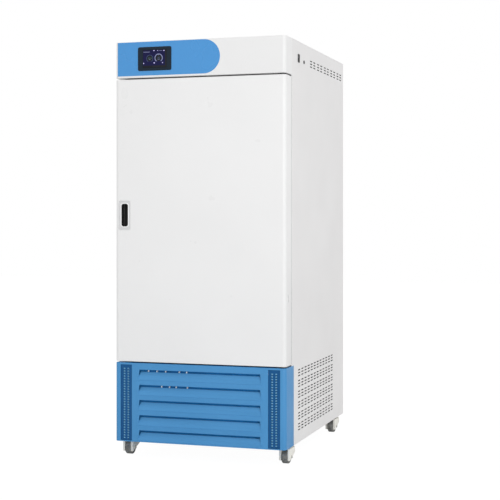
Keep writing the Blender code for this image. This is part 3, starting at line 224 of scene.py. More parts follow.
# %% Build a finish
def linear(red, green, blue):
    """An sRGB colour, 0 to 255, as the linear values that shaders use."""
    return tuple((c / 255 / 12.92) if c / 255 <= 0.04045 else ((c / 255 + 0.055) / 1.055) ** 2.4
                 for c in (red, green, blue))


def new_finish(name, slot, colour, roughness, metallic=0.0, **sockets):
    material = bpy.data.materials.new(name)
    material.use_nodes = True
    shader = material.node_tree.nodes["Principled BSDF"]
    shader.inputs["Base Color"].default_value = (*linear(*colour), 1)
    shader.inputs["Roughness"].default_value = roughness
    shader.inputs["Metallic"].default_value = metallic
    for socket, value in sockets.items():
        shader.inputs[socket.replace("_", " ")].default_value = value
    material["slot"] = slot
    return material


def noise(material, scale, stretch=(1, 1, 1), detail=3.0):
    """Noise on object coordinates, in metres, drawn out where stretch is small."""
    tree = material.node_tree
    place = tree.nodes.new("ShaderNodeTexCoord")
    mapping = tree.nodes.new("ShaderNodeMapping")
    mapping.inputs["Scale"].default_value = stretch
    texture = tree.nodes.new("ShaderNodeTexNoise")
    texture.inputs["Scale"].default_value = scale
    texture.inputs["Detail"].default_value = detail
    tree.links.new(place.outputs["Object"], mapping.inputs["Vector"])
    tree.links.new(mapping.outputs["Vector"], texture.inputs["Vector"])
    return texture.outputs["Fac"]


def add_bump(material, height, distance, strength=1.0):
    """Turn a texture into fine relief; a second call lies on top of the first."""
    tree = material.node_tree
    shader = tree.nodes["Principled BSDF"]
    bump = tree.nodes.new("ShaderNodeBump")
    bump.inputs["Distance"].default_value = distance
    bump.inputs["Strength"].default_value = strength
    tree.links.new(height, bump.inputs["Height"])
    for link in list(shader.inputs["Normal"].links):
        tree.links.new(link.from_socket, bump.inputs["Normal"])
    tree.links.new(bump.outputs["Normal"], shader.inputs["Normal"])


def add_range(material, fac, low, high):
    """Let a texture move the roughness between two values."""
    tree = material.node_tree
    ramp = tree.nodes.new("ShaderNodeMapRange")
    ramp.inputs["From Min"].default_value = 0.3
    ramp.inputs["From Max"].default_value = 0.7
    ramp.inputs["To Min"].default_value = low
    ramp.inputs["To Max"].default_value = high
    tree.links.new(fac, ramp.inputs["Value"])
    tree.links.new(ramp.outputs["Result"], tree.nodes["Principled BSDF"].inputs["Roughness"])


def add_colours(material, fac, low, high, socket="Base Color"):
    """Let a texture pick a colour between two stops, each a position and an sRGB colour."""
    tree = material.node_tree
    ramp = tree.nodes.new("ShaderNodeValToRGB")
    for element, (position, colour) in zip(ramp.color_ramp.elements, (low, high)):
        element.position = position
        element.color = (*linear(*colour), 1)
    tree.links.new(fac, ramp.inputs["Fac"])
    tree.links.new(ramp.outputs["Color"], tree.nodes["Principled BSDF"].inputs[socket])


print("finish helpers ready")

# %% [markdown]
# ### Paint
# The cabinet is powder coated. Powder melts into a skin with a very fine orange peel, and its
# gloss drifts a little from place to place. The white panels and the blue grille share that
# recipe, so one function makes them all.

# %% Powder coats
def powder_coat(name, slot, colour, shade, roughness=0.36, shine=0.45):
    """Paint with orange peel; shade is the slightly dirtier tone that drifts through it."""
    paint = new_finish(name, slot, colour, roughness, Specular_IOR_Level=shine)
    add_colours(paint, noise(paint, 3.0, detail=2.0), (0.35, shade), (0.65, colour))
    add_range(paint, noise(paint, 9.0), roughness - 0.05, roughness + 0.06)
    add_bump(paint, noise(paint, 650.0, detail=2.0), 0.00004)
    return paint


WHITE, BLUE, DARK_BLUE = "white_enamel", "blue_enamel", "dark_blue_enamel"
cabinet_white = powder_coat("cabinet_white", WHITE, (239, 238, 238), (236, 235, 235), 0.5, 0.3)
door_white = powder_coat("door_white", WHITE, (242, 242, 242), (240, 240, 240), 0.32)
grille_blue = powder_coat("grille_blue", BLUE, (76, 148, 204), (72, 144, 200), 0.42, 0.3)
# The strip's darker blue is painted shade, standing in for the shade of its recess and slots.
strip_painted_shade_blue = powder_coat("strip_painted_shade_blue", DARK_BLUE, (24, 88, 142), (18, 80, 134), 0.6, 0.2)
frame_blue = powder_coat("frame_blue", DARK_BLUE, (40, 140, 214), (30, 124, 198), 0.6, 0.2)
# The hoods' lighter blue is painted highlight: the strip's own sheet, lit on its upward faces.
hood_painted_highlight_blue = powder_coat("hood_painted_highlight_blue", BLUE, (108, 168, 204), (98, 158, 196), 0.38)
base_grey = powder_coat("base_grey", "grey_enamel", (178, 181, 184), (168, 171, 174), 0.45)
compressor_black = powder_coat("compressor_black", "compressor_paint", (34, 34, 35), (26, 26, 27),
                               0.38)
print("powder coats ready")

# %% [markdown]
# ### Metal
# The chamber is brushed stainless steel: long thin scratches all run one way. The casters and
# hinges are zinc plated, which looks slightly cloudy; the hinges are painted a dark grey as
# painted shade in the door seam. The coils are plain aluminium.

# %% Metals
def brushed(name, slot, colour, along, roughness=0.28):
    """Bright metal with fine lines drawn out along one axis."""
    metal = new_finish(name, slot, colour, roughness, 1.0)
    stretch = {"X": (0.02, 1, 1), "Y": (1, 0.02, 1), "Z": (1, 1, 0.02)}[along]
    lines = noise(metal, 900.0, stretch, 4.0)
    add_bump(metal, lines, 0.00003, 0.6)
    add_range(metal, lines, roughness - 0.07, roughness + 0.09)
    add_colours(metal, noise(metal, 6.0), (0.3, tuple(c - 8 for c in colour)), (0.7, colour))
    return metal


liner_steel = brushed("liner_steel", "stainless", (206, 207, 205), "X")
wire_steel = brushed("wire_steel", "stainless", (212, 212, 210), "Y", 0.2)
zinc_plate = brushed("zinc_plate", "zinc", (214, 213, 206), "Z", 0.36)
# Zinc plated hinges painted dark grey: painted shade for the seam where they sit.
hinge_painted_shade_steel = brushed("hinge_painted_shade_steel", "zinc", (92, 93, 94), "X", 0.44)
fin_metal = brushed("fin_metal", "aluminium", (208, 209, 210), "Z", 0.34)
print("metals ready")

# %% [markdown]
# ### Plastic, rubber and foam
# Moulded plastic has a fine spark-eroded grain. Rubber is rougher and picks up pale dust in
# patches. Poured foam is full of small cells.

# %% Plastics, rubbers and foam
def moulded(name, slot, colour, roughness=0.45, grain=1400.0, shine=0.5):
    plastic = new_finish(name, slot, colour, roughness, Specular_IOR_Level=shine)
    add_bump(plastic, noise(plastic, grain, detail=2.0), 0.00003)
    add_range(plastic, noise(plastic, 14.0), roughness - 0.06, roughness + 0.06)
    return plastic


def rubber(name, slot, colour, dust):
    soft = new_finish(name, slot, colour, 0.62)
    add_colours(soft, noise(soft, 70.0, detail=5.0), (0.42, colour), (0.72, dust))
    add_range(soft, noise(soft, 40.0), 0.55, 0.75)
    add_bump(soft, noise(soft, 900.0), 0.00006)
    return soft


fascia_white = moulded("fascia_white", "white_plastic", (238, 238, 238), 0.36)
liner_white = moulded("liner_white", "white_plastic", (228, 229, 228), 0.42)
caster_cream = moulded("caster_cream", "white_plastic", (244, 242, 234), 0.48)
# A grey that is painted shade on the white plastic of the grip ring.
grip_painted_shade_grey = moulded("grip_painted_shade_grey", "white_plastic", (220, 220, 221), 0.40)
lip_white = moulded("lip_white", "white_plastic", (246, 246, 247), 0.34)
matt_black = moulded("matt_black", "black_plastic", (24, 24, 25), 0.46)
dark_plastic = moulded("dark_plastic", "dark_plastic", (52, 54, 58), 0.42)
# A dark grey that is painted shade in the gap at the door's rear edge.
gap_painted_shade_grey = moulded("gap_painted_shade_grey", "dark_plastic", (60, 61, 63), 0.55)
bezel_black = moulded("bezel_black", "dark_plastic", (28, 40, 52), 0.42, 2200.0, 0.15)
seal_rubber = rubber("seal_rubber", "gasket_rubber", (58, 60, 62), (84, 85, 86))
tread_rubber = rubber("tread_rubber", "wheel_rubber", (108, 109, 107), (146, 145, 141))
blue_film = new_finish("blue_film", "blue_film", (63, 147, 213), 0.24, Coat_Weight=0.3,
                       Coat_Roughness=0.12)
add_bump(blue_film, noise(blue_film, 1800.0), 0.00001)
add_range(blue_film, noise(blue_film, 5.0), 0.22, 0.30)
add_colours(blue_film, noise(blue_film, 2.5), (0.35, (62, 145, 212)), (0.65, (66, 149, 215)))
# Near black with a rough pad: painted shade for the dark inside behind the side slots.
slot_painted_shade_black = moulded("slot_painted_shade_black", "black_plastic", (16, 16, 17), 0.9, 300.0, 0.1)
add_bump(slot_painted_shade_black, noise(slot_painted_shade_black, 240.0, detail=4.0), 0.0006)
wall_foam = new_finish("wall_foam", "foam", (226, 208, 150), 0.9)
foam_cells = noise(wall_foam, 180.0, detail=6.0)
add_colours(wall_foam, foam_cells, (0.35, (196, 174, 112)), (0.6, (232, 216, 162)))
add_bump(wall_foam, noise(wall_foam, 420.0, detail=6.0), 0.0005)
board_green = new_finish("board_green", "circuit_board", (24, 92, 52), 0.35)
tracks = noise(board_green, 260.0, (1, 1, 0.2))
add_colours(board_green, tracks, (0.47, (18, 78, 44)), (0.53, (36, 116, 70)))
print("plastics, rubbers and foam ready")

# %% [markdown]
# ### Display light
# The signs on the display are lit from behind. Each finish has a dark body colour and a glow that
# noise makes a little uneven, as the cells of a real display do.

# %% Glowing finishes
def glowing(name, colour, glow, strength):
    """Dark glass with light in it; glow is the colour of the light."""
    lit = new_finish(name, "screen_glass", colour, 0.22, Emission_Strength=strength,
                     Specular_IOR_Level=0.2)
    weaker = [int(c * 0.9) for c in glow]
    add_colours(lit, noise(lit, 120.0), (0.3, weaker), (0.7, glow), "Emission Color")
    add_range(lit, noise(lit, 30.0), 0.18, 0.27)
    return lit


clip_white = moulded("clip_white", "white_plastic", (222, 232, 242), 0.4)
screen_black = moulded("screen_black", "screen_glass", (26, 28, 36), 0.12, 60.0, 0.2)
screen_navy = glowing("screen_navy", (4, 4, 30), (12, 12, 92), 0.4)
sign_white = glowing("sign_white", (90, 88, 130), (214, 206, 250), 0.9)
sign_mid = glowing("sign_mid", (60, 66, 96), (158, 164, 196), 0.8)
sign_dim = glowing("sign_dim", (34, 44, 70), (84, 104, 128), 0.7)
sign_green = glowing("sign_green", (34, 52, 56), (84, 116, 112), 0.7)
print("glowing finishes ready")

# %% [markdown]
# ## Finishing the solids that keep their shape
# Flat folded sheet needs no new mesh: the panels, the deck and the chamber liner already have
# every bend and slot. They only swap their plain colour for a real finish.

# %% Give the solids their finishes
plain_solids = {
    cabinet_white: ("left_side_panel", "right_side_panel", "top_panel", "rear_panel"),
    base_grey: ("base_frame", "machine_deck", "condenser_fan_shroud"),
    liner_steel: ("chamber_liner", "air_duct_cover", "shelf_track_left", "shelf_track_right", "heater",
                  "temperature_probe"),
    fin_metal: ("evaporator", "condenser_coil", "circulation_fan_impeller"),
    zinc_plate: ("circulation_fan_motor",),
    # The hinges take the dark painted shade steel.
    hinge_painted_shade_steel: ("hinge_lower", "hinge_upper"),
    liner_white: ("breaker_frame",),
    matt_black: ("power_inlet", "power_rocker"),
    dark_plastic: ("condensate_tray", "condenser_fan_impeller"),
    wall_foam: ("insulation", "door_insulation"),
    board_green: ("control_board",),
    compressor_black: ("compressor",),
}
for material, names in plain_solids.items():
    repaint(material, *(solids[name] for name in names))
print("solids finished:", sum(len(names) for names in plain_solids.values()))

# %% [markdown]
# ## Door
# The door's outer skin is one folded sheet with generous round corners and crisp top and bottom
# edges. A cube with its two front corners bevelled gives the same form, and once its back is
# taken off and the wall has its thickness, it is a true shell.

# %% Folded front shells
FRONT_CORNER = 0.014
SHEET = 0.001
FOLD = 0.0012
HEM_FLANGE = 0.006
SQUARE = 1.2  # radians, sharper than the steps of a corner
TOUCH = 1e-5


def front_shell(name, low, high, wall, corner=FRONT_CORNER, hem=0.0, lap=0.0):
    """The rounded tray that the door, the fascia and the grille are all folded to.

    A hem rounds its rear edges, and a lap draws its sides out backwards.
    """
    shell = block(name, low, high)
    round_edges(shell, lambda e: all(v.co.y < low.y + TOUCH for v in e.verts)
                and abs(e.verts[0].co.z - e.verts[1].co.z) > 0.01, corner, 12)
    if hem:
        round_edges(shell, ends(lambda co: co.y > high.y - TOUCH), hem, 5)
    choose(shell, "FACE", facing(1, 1))
    if hem:
        bpy.ops.mesh.inset(thickness=HEM_FLANGE)
    bpy.ops.mesh.delete(type="FACE")
    if lap:
        choose(shell, "EDGE", lambda e: e.is_boundary and all(
            abs(v.co.x) > high.x - TOUCH and v.co.y > high.y - TOUCH for v in e.verts))
        bpy.ops.mesh.extrude_region_move(TRANSFORM_OT_translate={"value": (0, lap, 0)})
    round_edges(shell, lambda e: e.is_manifold and e.calc_face_angle(0) > SQUARE, FOLD, 3)
    return modify(shell, "SOLIDIFY", thickness=wall, offset=-1, use_even_offset=True)


EDGE_TRIM = Vector((0, 0.0015, 0))
CUP_PLAY = 0.0003
PIN_INSET = 0.018
PIN_HOLE = 0.0044
door_low, door_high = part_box("door_outer_skin")
door_skin = front_shell("door_skin", door_low, door_high - EDGE_TRIM, SHEET, hem=0.003)
cup_low, cup_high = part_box("handle_cup")
cut_low = cup_low - Vector((CUP_PLAY, PAST, CUP_PLAY))
cut_high = (cup_high.x + CUP_PLAY, cup_low.y + 0.002, cup_high.z + CUP_PLAY)
combine(door_skin, block("cup_cut", cut_low, cut_high), "DIFFERENCE")
pin_low, pin_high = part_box("hinge_lower")
pin_through = Vector((0, 0, 0.004))
for end in (door_low.z, door_high.z):
    pin = Vector(((pin_low.x + pin_high.x) / 2, door_low.y + PIN_INSET, end))
    combine(door_skin, round_bar("pin_cut", pin - pin_through, pin + pin_through, PIN_HOLE, 20),
            "DIFFERENCE")
finish(door_skin, door_white, ["door_outer_skin"], "door")
print("door skin faces:", len(door_skin.data.polygons))

# %% [markdown]
# ## Door grip
# The hand reaches into a black moulded cup behind a pale ring. The ring is a thin rounded block
# with a sunk face and a rounded opening, and a white lip stands round the opening. The ring is
# painted grey, darker than the white lip, as painted shade. The cup is a rounded block without its
# front, so that its inside is hollow and its walls run on behind the ring, where the fingers hook.

# %% Ring, lip and cup
RING_STAND = 0.0015
RING_PRESS = 0.0012
ring_low, ring_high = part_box("handle_surround")
narrow = Vector((0.0022, 0, 0.0018))
stand = Vector((0, RING_STAND, 0))
half = Vector((0.0135, PAST, 0.0426))
ring_middle = (ring_low + ring_high) / 2 + Vector((0.0008, 0, 0))
ring = rounded_block("grip_ring", ring_low + narrow - stand, ring_high - narrow, 1, 0.004)
press(ring, facing(1), (0.0016, 0), (RING_PRESS, -RING_PRESS))
sunk = ring_low.y - RING_STAND + RING_PRESS
choose(ring, "VERT", lambda v: abs(v.co.y - sunk) < TOUCH and v.co.x < ring_middle.x)
bpy.ops.transform.translate(value=(0, RING_PRESS, 0))
close_edit()


def open_grip(piece):
    """Cut the opening for the hand."""
    opening = rounded_block("grip_opening", ring_middle - half, ring_middle + half, 1, 0.0085, 8)
    combine(piece, opening, "DIFFERENCE")


open_grip(ring)
# The ring's grey is painted shade, darker than the lip's white.
finish(ring, grip_painted_shade_grey, ["handle_surround"], "door")

reach = half + Vector((0.0036, 0, 0.0036))
lip_low, lip_high = ring_middle - reach, ring_middle + reach
lip_low.y, lip_high.y = ring_low.y - 0.0024, ring_high.y - 0.0002
lip = rounded_block("grip_lip", lip_low, lip_high, 1, 0.012, 10)
open_grip(lip)
soften(lip, 0.0010, 4)
finish(lip, lip_white, body="door")

cup = rounded_block("grip_cup", cup_low, cup_high, 1, 0.008)
choose(cup, "FACE", facing(1))
bpy.ops.mesh.delete(type="FACE")
round_edges(cup, ends(lambda co: co.y > cup_high.y - TOUCH), 0.006, 5)
modify(cup, "SOLIDIFY", thickness=0.0015, offset=-1, use_even_offset=True)
finish(cup, matt_black, ["handle_cup"], "door")
print("grip opening:", [round(2 * size, 3) for size in (half.x, half.z)])

# %% [markdown]
# ## Inside of the door
# The back of the door is a formed panel with a raised plug that fills the chamber's mouth. Its
# face is pressed in a little so that it stays flat. A dark grey frame closes the edge between panel
# and skin as painted shade, so that the gap at the door's edge reads as a dark line. Inside it
# runs the magnetic seal, a soft frame with a groove between two lips.

# %% Door liner, edge frame and seal
PRESSED = 0.0013
play = Vector((0.017, 0, 0.017))
panel_low, panel_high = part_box("door_inner_liner")
mouth_low, mouth_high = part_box("chamber_liner")
base = panel_low.y + 0.0015
door_liner = rounded_block("door_liner", panel_low, (panel_high.x, base, panel_high.z), 1, 0.004, 3)
plug_low = Vector((mouth_low.x, base - 0.0010, mouth_low.z)) + play
plug_high = Vector((mouth_high.x, panel_high.y, mouth_high.z)) - play
plug = rounded_block("door_plug", plug_low, plug_high, 1, 0.007, 6)
round_edges(plug, ends(lambda co: co.y > panel_high.y - TOUCH), 0.004, 4)
rim = Vector((0.045, 0, 0.045))
field_low, field_high = plug_low + rim, plug_high - rim
field_low.y, field_high.y = panel_high.y - PRESSED, panel_high.y + PAST
combine(plug, rounded_block("pressed_field", field_low, field_high, 1, 0.014, 8), "DIFFERENCE")
soften(plug, 0.0005, 3, 60)
combine(door_liner, plug, "UNION")
finish(door_liner, liner_white, ["door_inner_liner"], "door")

# A dark grey frame in the door's rear gap: painted shade that makes the gap read dark.
frame_low = panel_low - Vector((0.0004, 0.0030, 0.0004))
frame_high = Vector((panel_high.x + 0.0004, base + 0.0012, panel_high.z + 0.0004))
gap_shade_frame = rounded_block("door_gap_shade_frame", frame_low, frame_high, 1, 0.003, 3)
reach = Vector((0.012, -PAST, 0.012))
inside_high = Vector((panel_high.x, base + PAST, panel_high.z)) - reach
combine(gap_shade_frame, block("edge_inside", panel_low + reach, inside_high), "DIFFERENCE")
soften(gap_shade_frame, 0.0005, 2, 50)
finish(gap_shade_frame, gap_painted_shade_grey, body="door")

seal_low, seal_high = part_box("door_gasket")
seal = rounded_block("door_seal", seal_low, seal_high, 1, 0.006, 4)
reach = Vector((0.018, -PAST, 0.018))
combine(seal, rounded_block("seal_inside", seal_low + reach, seal_high - reach, 1, 0.003, 3),
        "DIFFERENCE")
press(seal, facing(1, 1), (0.005, 0), (0.0015, -0.0018))
soften(seal, 0.0006, 2, 60)
finish(seal, seal_rubber, ["door_gasket"], "door")
print("plug stands", round(panel_high.y - base, 4), "into the chamber")

# %% [markdown]
# ## Control fascia
# The fascia is a taller tray of white moulded plastic. A blue film lies on it. It starts where
# the left corner begins to turn and ends in a half circle on the right. The film is the same
# tray a little larger, and only the part inside a round-ended outline is kept.

# %% Fascia tray and blue film
fascia_low, fascia_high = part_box("control_fascia")
film_low, film_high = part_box("fascia_overlay")
bezel_low, bezel_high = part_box("display_bezel")
fascia = front_shell("fascia_tray", fascia_low, fascia_high, SHEET)


LEAF = 0.003


def notch_for(hinge, piece):
    """Let the leaf of a hinge, whose two corners are given, into the rear edge of a piece."""
    low, high = hinge
    room = Vector((0.001, 0.001, 0.001))
    leaf = block("hinge_notch", Vector((low.x, high.y - LEAF, low.z)) - room, high + room)
    combine(piece, leaf, "DIFFERENCE")


notch_for(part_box("hinge_upper"), fascia)
lip = Vector((0.0047, 0, 0.0047))
window = (bezel_low + lip - Vector((0, PAST, 0)), bezel_high - lip)
combine(fascia, block("display_window", *window), "DIFFERENCE")
finish(fascia, fascia_white, ["control_fascia"])

PROUD = 0.0003
grow = Vector((PROUD, PROUD, PROUD))
film = front_shell("fascia_film", fascia_low - grow, fascia_high + grow, PROUD * 1.4,
                   FRONT_CORNER + PROUD)
radius = (film_high.z - film_low.z) / 2
middle = Vector((film_high.x - radius, 0, film_low.z + radius))
outline = block("film_outline", (film_low.x, fascia_low.y - PAST, film_low.z),
                (middle.x, fascia_high.y + PAST, film_high.z))
combine(outline, round_bar("film_end", middle + Vector((0, fascia_low.y - PAST, 0)),
                           middle + Vector((0, fascia_high.y + PAST, 0)), radius, 96), "UNION")
combine(film, outline, "INTERSECT")
combine(film, block("display_window", *window), "DIFFERENCE")
finish(film, blue_film, ["fascia_overlay"])
print("film width:", round(film_high.x - film_low.x, 4))

# %% [markdown]
# ## Display
# A black frame stands a little proud of the film and holds a sheet of glass. Behind the glass a
# navy picture shows two round gauges with a figure in each, and a few small bars and dots.
# The frame is a rounded block with a window, and the signs are thin raised shapes that glow.

# %% Frame and glass
frame_back = Vector((bezel_high.x, fascia_low.y - PROUD, bezel_high.z))
frame_piece = rounded_block("display_frame", bezel_low, frame_back, 1, 0.0065)
body = Vector((0.005, 0, 0.005))
body_low = Vector((bezel_low.x, fascia_low.y - 2 * PROUD, bezel_low.z)) + body
combine(frame_piece, block("display_body", body_low, bezel_high - body), "UNION")
glass_low, glass_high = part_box("touch_panel")
room = Vector((0.0003, 2 * PAST, 0.0003))
opening_high = glass_high + Vector((room.x, 0, room.z))
combine(frame_piece, block("display_opening", glass_low - room, opening_high), "DIFFERENCE")
soften(frame_piece, 0.0008, 3, 50)
finish(frame_piece, bezel_black, ["display_bezel"])

glass = rounded_block("screen_glass", glass_low, glass_high, 1, 0.0015, 3)
soften(glass, 0.0004, 2, 50)
finish(glass, screen_black, ["touch_panel"])
picture_low = Vector((glass_low.x + 0.0015, glass_low.y - 0.0001, glass_high.z - 0.0590))
picture_high = Vector((glass_high.x - 0.0065, glass_low.y + 0.0005, glass_high.z - 0.0015))
lit = rounded_block("screen_picture", picture_low, picture_high, 1, 0.001, 2)
finish(lit, screen_navy)
picture_size = picture_high - picture_low
print("picture:", round(picture_size.x, 3), "by", round(picture_size.z, 3))

# %% Gauges and signs
def on_glass(right, down, lift=0.0002):
    """A point on the glass, in millimetres from its upper left corner."""
    return Vector((glass_low.x + right / 1000, glass_low.y - lift, glass_high.z - down / 1000))


def gauge(name, right, down, outer, inner, opening):
    """A flat ring with a gap at its foot, cut from a disc."""
    here, front = on_glass(right, down, 0.0001), Vector((0, -0.0002, 0))
    ring = round_bar(name, here, here + front, outer, 64)
    combine(ring, round_bar("gauge_hole", here - 9 * front, here + 9 * front, inner, 64), "DIFFERENCE")
    wedge = block("gauge_gap", here + Vector((-0.02, -0.002, -0.02)),
                  here + Vector((0.02, 0.002, -opening)))
    return combine(ring, wedge, "DIFFERENCE")


LEFT_GAUGE = (28.3, 32.6)
RIGHT_GAUGE = (64.1, 31.6)
finish(gauge("gauge_left", *LEFT_GAUGE, 0.0134, 0.0122, 0.0112), sign_dim)
finish(gauge("gauge_right", *RIGHT_GAUGE, 0.0160, 0.0134, 0.0118), sign_mid)
discs = []
for spot, radius in ((LEFT_GAUGE, 0.0108), (RIGHT_GAUGE, 0.0118)):
    here = on_glass(*spot, 0.0001)
    disc = round_bar("gauge_face", here, here + Vector((0, -0.0001, 0)), radius, 48)
    choose(disc, "FACE", facing(1))
    bpy.ops.mesh.inset(thickness=0.002)
    bpy.ops.transform.translate(value=(0, 0.00005, 0))
    close_edit()
    discs.append(disc)
finish(join("gauge_faces", discs), screen_black)


def sign(right, down, wide, tall):
    """A small rounded bar of light."""
    middle = on_glass(right, down)
    size = Vector((wide / 2000, 0.0001, tall / 2000))
    return rounded_block("sign", middle - size, middle + size, 1, min(wide, tall) / 2600, 3)


bright = [sign(3.9, 50.0, 4.0, 4.0), sign(46.3, 49.5, 4.6, 4.6), sign(79.6, 49.8, 3.6, 3.6),
          sign(45.3, 3.6, 5.0, 3.2), sign(60.2, 4.0, 2.6, 2.6), sign(85.0, 4.4, 5.0, 3.0)]
finish(join("signs_bright", bright), sign_white)
dim = [sign(15.5, 8.3, 25.0, 1.5), sign(72.0, 4.2, 12.0, 0.9), sign(64.1, 19.6, 1.2, 4.0),
       sign(64.1, 36.5, 8.0, 1.2), sign(28.3, 36.5, 6.0, 1.0)]
finish(join("signs_dim", dim), sign_mid)


def reading(name, text, right, down, tall):
    """Figures in the middle of a gauge, turned into a mesh before they are placed."""
    only()
    bpy.ops.object.text_add(location=on_glass(right, down), rotation=(math.radians(90), 0, 0))
    figures = bpy.context.object.data
    figures.body = text
    figures.align_x = "CENTER"
    figures.align_y = "CENTER"
    figures.size = tall
    figures.extrude = 0.00005
    figures.resolution_u = 4
    bpy.ops.object.convert(target="MESH")
    return keep_new(name)


finish(reading("reading_left", "25.0", 28.3, 31.8, 0.0088), sign_green)
finish(reading("reading_right", "60", 64.1, 31.0, 0.0094), sign_dim)
print("signs and gauges ready")

# %% [markdown]
# ## Lower grille
# The blue panel below the door is one steel sheet with five wide louvres pressed inwards. The
# press shears each louvre free along its top and down half of its ends, so it is flush at its
# foot and curves back to its top, where a slit lets the air through. A wall block and a pocket
# block get the same curve. The wall is joined to the sheet, the pocket is cut from both, and
# the pair is repeated down the panel. The sides of the sheet lap over the cabinet's sides.

# %% Louvred panel
grille_low, grille_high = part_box("lower_grille")
side_lap = Vector((0.0004, 0, 0))
grille = front_shell("louvred_panel", grille_low - side_lap, grille_high + side_lap, SHEET, lap=0.0223)
LOUVRES = 5
LOUVRE_PITCH = 0.0568
LOUVRE_HALF = 0.2365
LOUVRE_TALL = 0.038
LOUVRE_DEEP = 0.014
SLIT = 0.0085
LEVELS = (0.25, 0.5, 0.72, 0.88, 1.0)
first_top = grille_high.z - 0.024


def louvre_block(name, wall, top_half, foot_half, slit_cut):
    """A block that is flush with the sheet at its foot, and curves back and narrows to its top."""
    face = grille_low.y
    foot = first_top - LOUVRE_TALL - wall * 0.4
    tall = first_top + slit_cut - foot
    wedge = block(name, (-foot_half, face - 0.001, foot),
                  (foot_half, face - 0.0006 + wall, foot + tall))
    for share in LEVELS[:-1]:
        choose(wedge, "FACE", lambda f: True)
        bpy.ops.mesh.bisect(plane_co=(0, 0, foot + tall * share), plane_no=(0, 0, 1))
    for share in LEVELS:
        level = foot + tall * share
        choose(wedge, "VERT", lambda v: abs(v.co.z - level) < 0.002)
        bpy.ops.transform.resize(value=(1 - share * (1 - top_half / foot_half), 1, 1),
                                 center_override=(0, face, level))
        choose(wedge, "VERT", lambda v: v.co.y > face - 0.0009 and abs(v.co.z - level) < 0.002)
        bpy.ops.transform.translate(value=(0, LOUVRE_DEEP * share ** 1.5, 0))
    close_edit()
    return wedge


walls = [louvre_block("louvre_wall", 0.0015, LOUVRE_HALF - 0.0030, LOUVRE_HALF + 0.0100, -SLIT)]
pockets = [louvre_block("louvre_pocket", 0.0, LOUVRE_HALF, LOUVRE_HALF + 0.004, 0.0)]
for number in range(1, LOUVRES):
    drop = Matrix.Translation((0, 0, -LOUVRE_PITCH * number))
    walls.append(copy_of(walls[0], "louvre_wall", drop))
    pockets.append(copy_of(pockets[0], "louvre_pocket", drop))
combine(grille, join("louvre_walls", walls), "UNION")
combine(grille, join("louvre_pockets", pockets), "DIFFERENCE")
for side in ("left", "right"):
    low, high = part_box("perforated_strip_" + side)
    window_low, window_high = low - Vector((0, 0.02, 0.001)), high + Vector((0, 0.02, -0.0015))
    combine(grille, block("strip_window", window_low, window_high), "DIFFERENCE")
notch_for(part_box("hinge_lower"), grille)
soften(grille, 0.0006, 2, 50)
finish(grille, grille_blue, ["lower_grille"])
print("louvred panel faces:", len(grille.data.polygons))

# %% [markdown]
# ### Filter frame
# Behind the louvres hangs a filter in a dark blue steel frame, which is what shows through the
# slits. It is a rounded block whose front is pressed back in two steps.

# %% Filter frame
frame_front = grille_low.y + LOUVRE_DEEP + 0.0035
frame_half = LOUVRE_HALF + 0.016
filter_frame = rounded_block("filter_frame", (-frame_half, frame_front, grille_low.z + 0.006),
                             (frame_half, frame_front + 0.008, grille_high.z - 0.006), 1, 0.004, 4)
press(filter_frame, facing(1), (0.004, 0), (0.002, -0.0015))
soften(filter_frame, 0.0008, 2, 50)
finish(filter_frame, frame_blue)
print("filter frame stands", round(frame_front - grille_low.y, 4), "behind the sheet")

# %% [markdown]
# ### Clips in the slits
# Small pale clips sit in the two upper slits, where the filter behind the louvres is held. One
# clip is a block whose front is drawn in and rounded, and the rest are copies.

# %% Filter clips
clip_face = grille_low.y + LOUVRE_DEEP
clip = block("filter_clip", (-0.0019, clip_face - 0.007, first_top - SLIT),
             (0.0019, clip_face + 0.003, first_top - 0.001))
choose(clip, "FACE", facing(1))
bpy.ops.transform.resize(value=(0.8, 1, 0.8))
close_edit()
soften(clip, 0.0005, 2)
upper = (-0.2035, -0.1694, -0.1348, -0.0804, -0.0514)
lower = (-0.1505, -0.1191, -0.0929, -0.0483)
clips = [copy_of(clip, "filter_clip", Matrix.Translation((x, 0, drop)))
         for drop, row in ((0, upper), (-LOUVRE_PITCH, lower)) for x in row]
bpy.data.objects.remove(clip)
print("clips:", len(clips))
finish(join("filter_clips", clips), clip_white)

# %% [markdown]
# ### Perforated strips
# A strip stands upright at each end of the panel, with two columns of small pressed hoods
# that let air through. The strip is painted a darker blue and the hoods a lighter blue: painted
# shade and painted highlight on one pressed sheet. One hood is a block whose upper edge is pushed
# back into the sheet, and one slot opens under it. Both lean a little towards the middle of the
# strip, so that each row is a flat V. They are copied in rows, the slots are cut and the hoods lie
# on top.

# %% Strips with pressed hoods
ROWS = 28
ROW_PITCH = 0.00962
FIRST_ROW = 0.0082
COLUMN_OFFSET = 0.0075
HOOD_LEAN = math.radians(16)


def small_hood(face):
    """One pressed hood: deep at its lower edge and flush at its upper edge."""
    hood = block("hood", (-0.0033, face - 0.0016, -0.0021), (0.0033, face + 0.0002, 0.0021))
    choose(hood, "VERT", lambda v: v.co.y < face - 0.001 and v.co.z > 0)
    bpy.ops.transform.translate(value=(0, 0.0015, 0))
    choose(hood, "FACE", lambda f: f.normal.y < -0.5)
    bpy.ops.transform.resize(value=(0.78, 1, 1))
    return round_edges(hood, ends(lambda co: co.y < face - 0.001), 0.0004, 2)


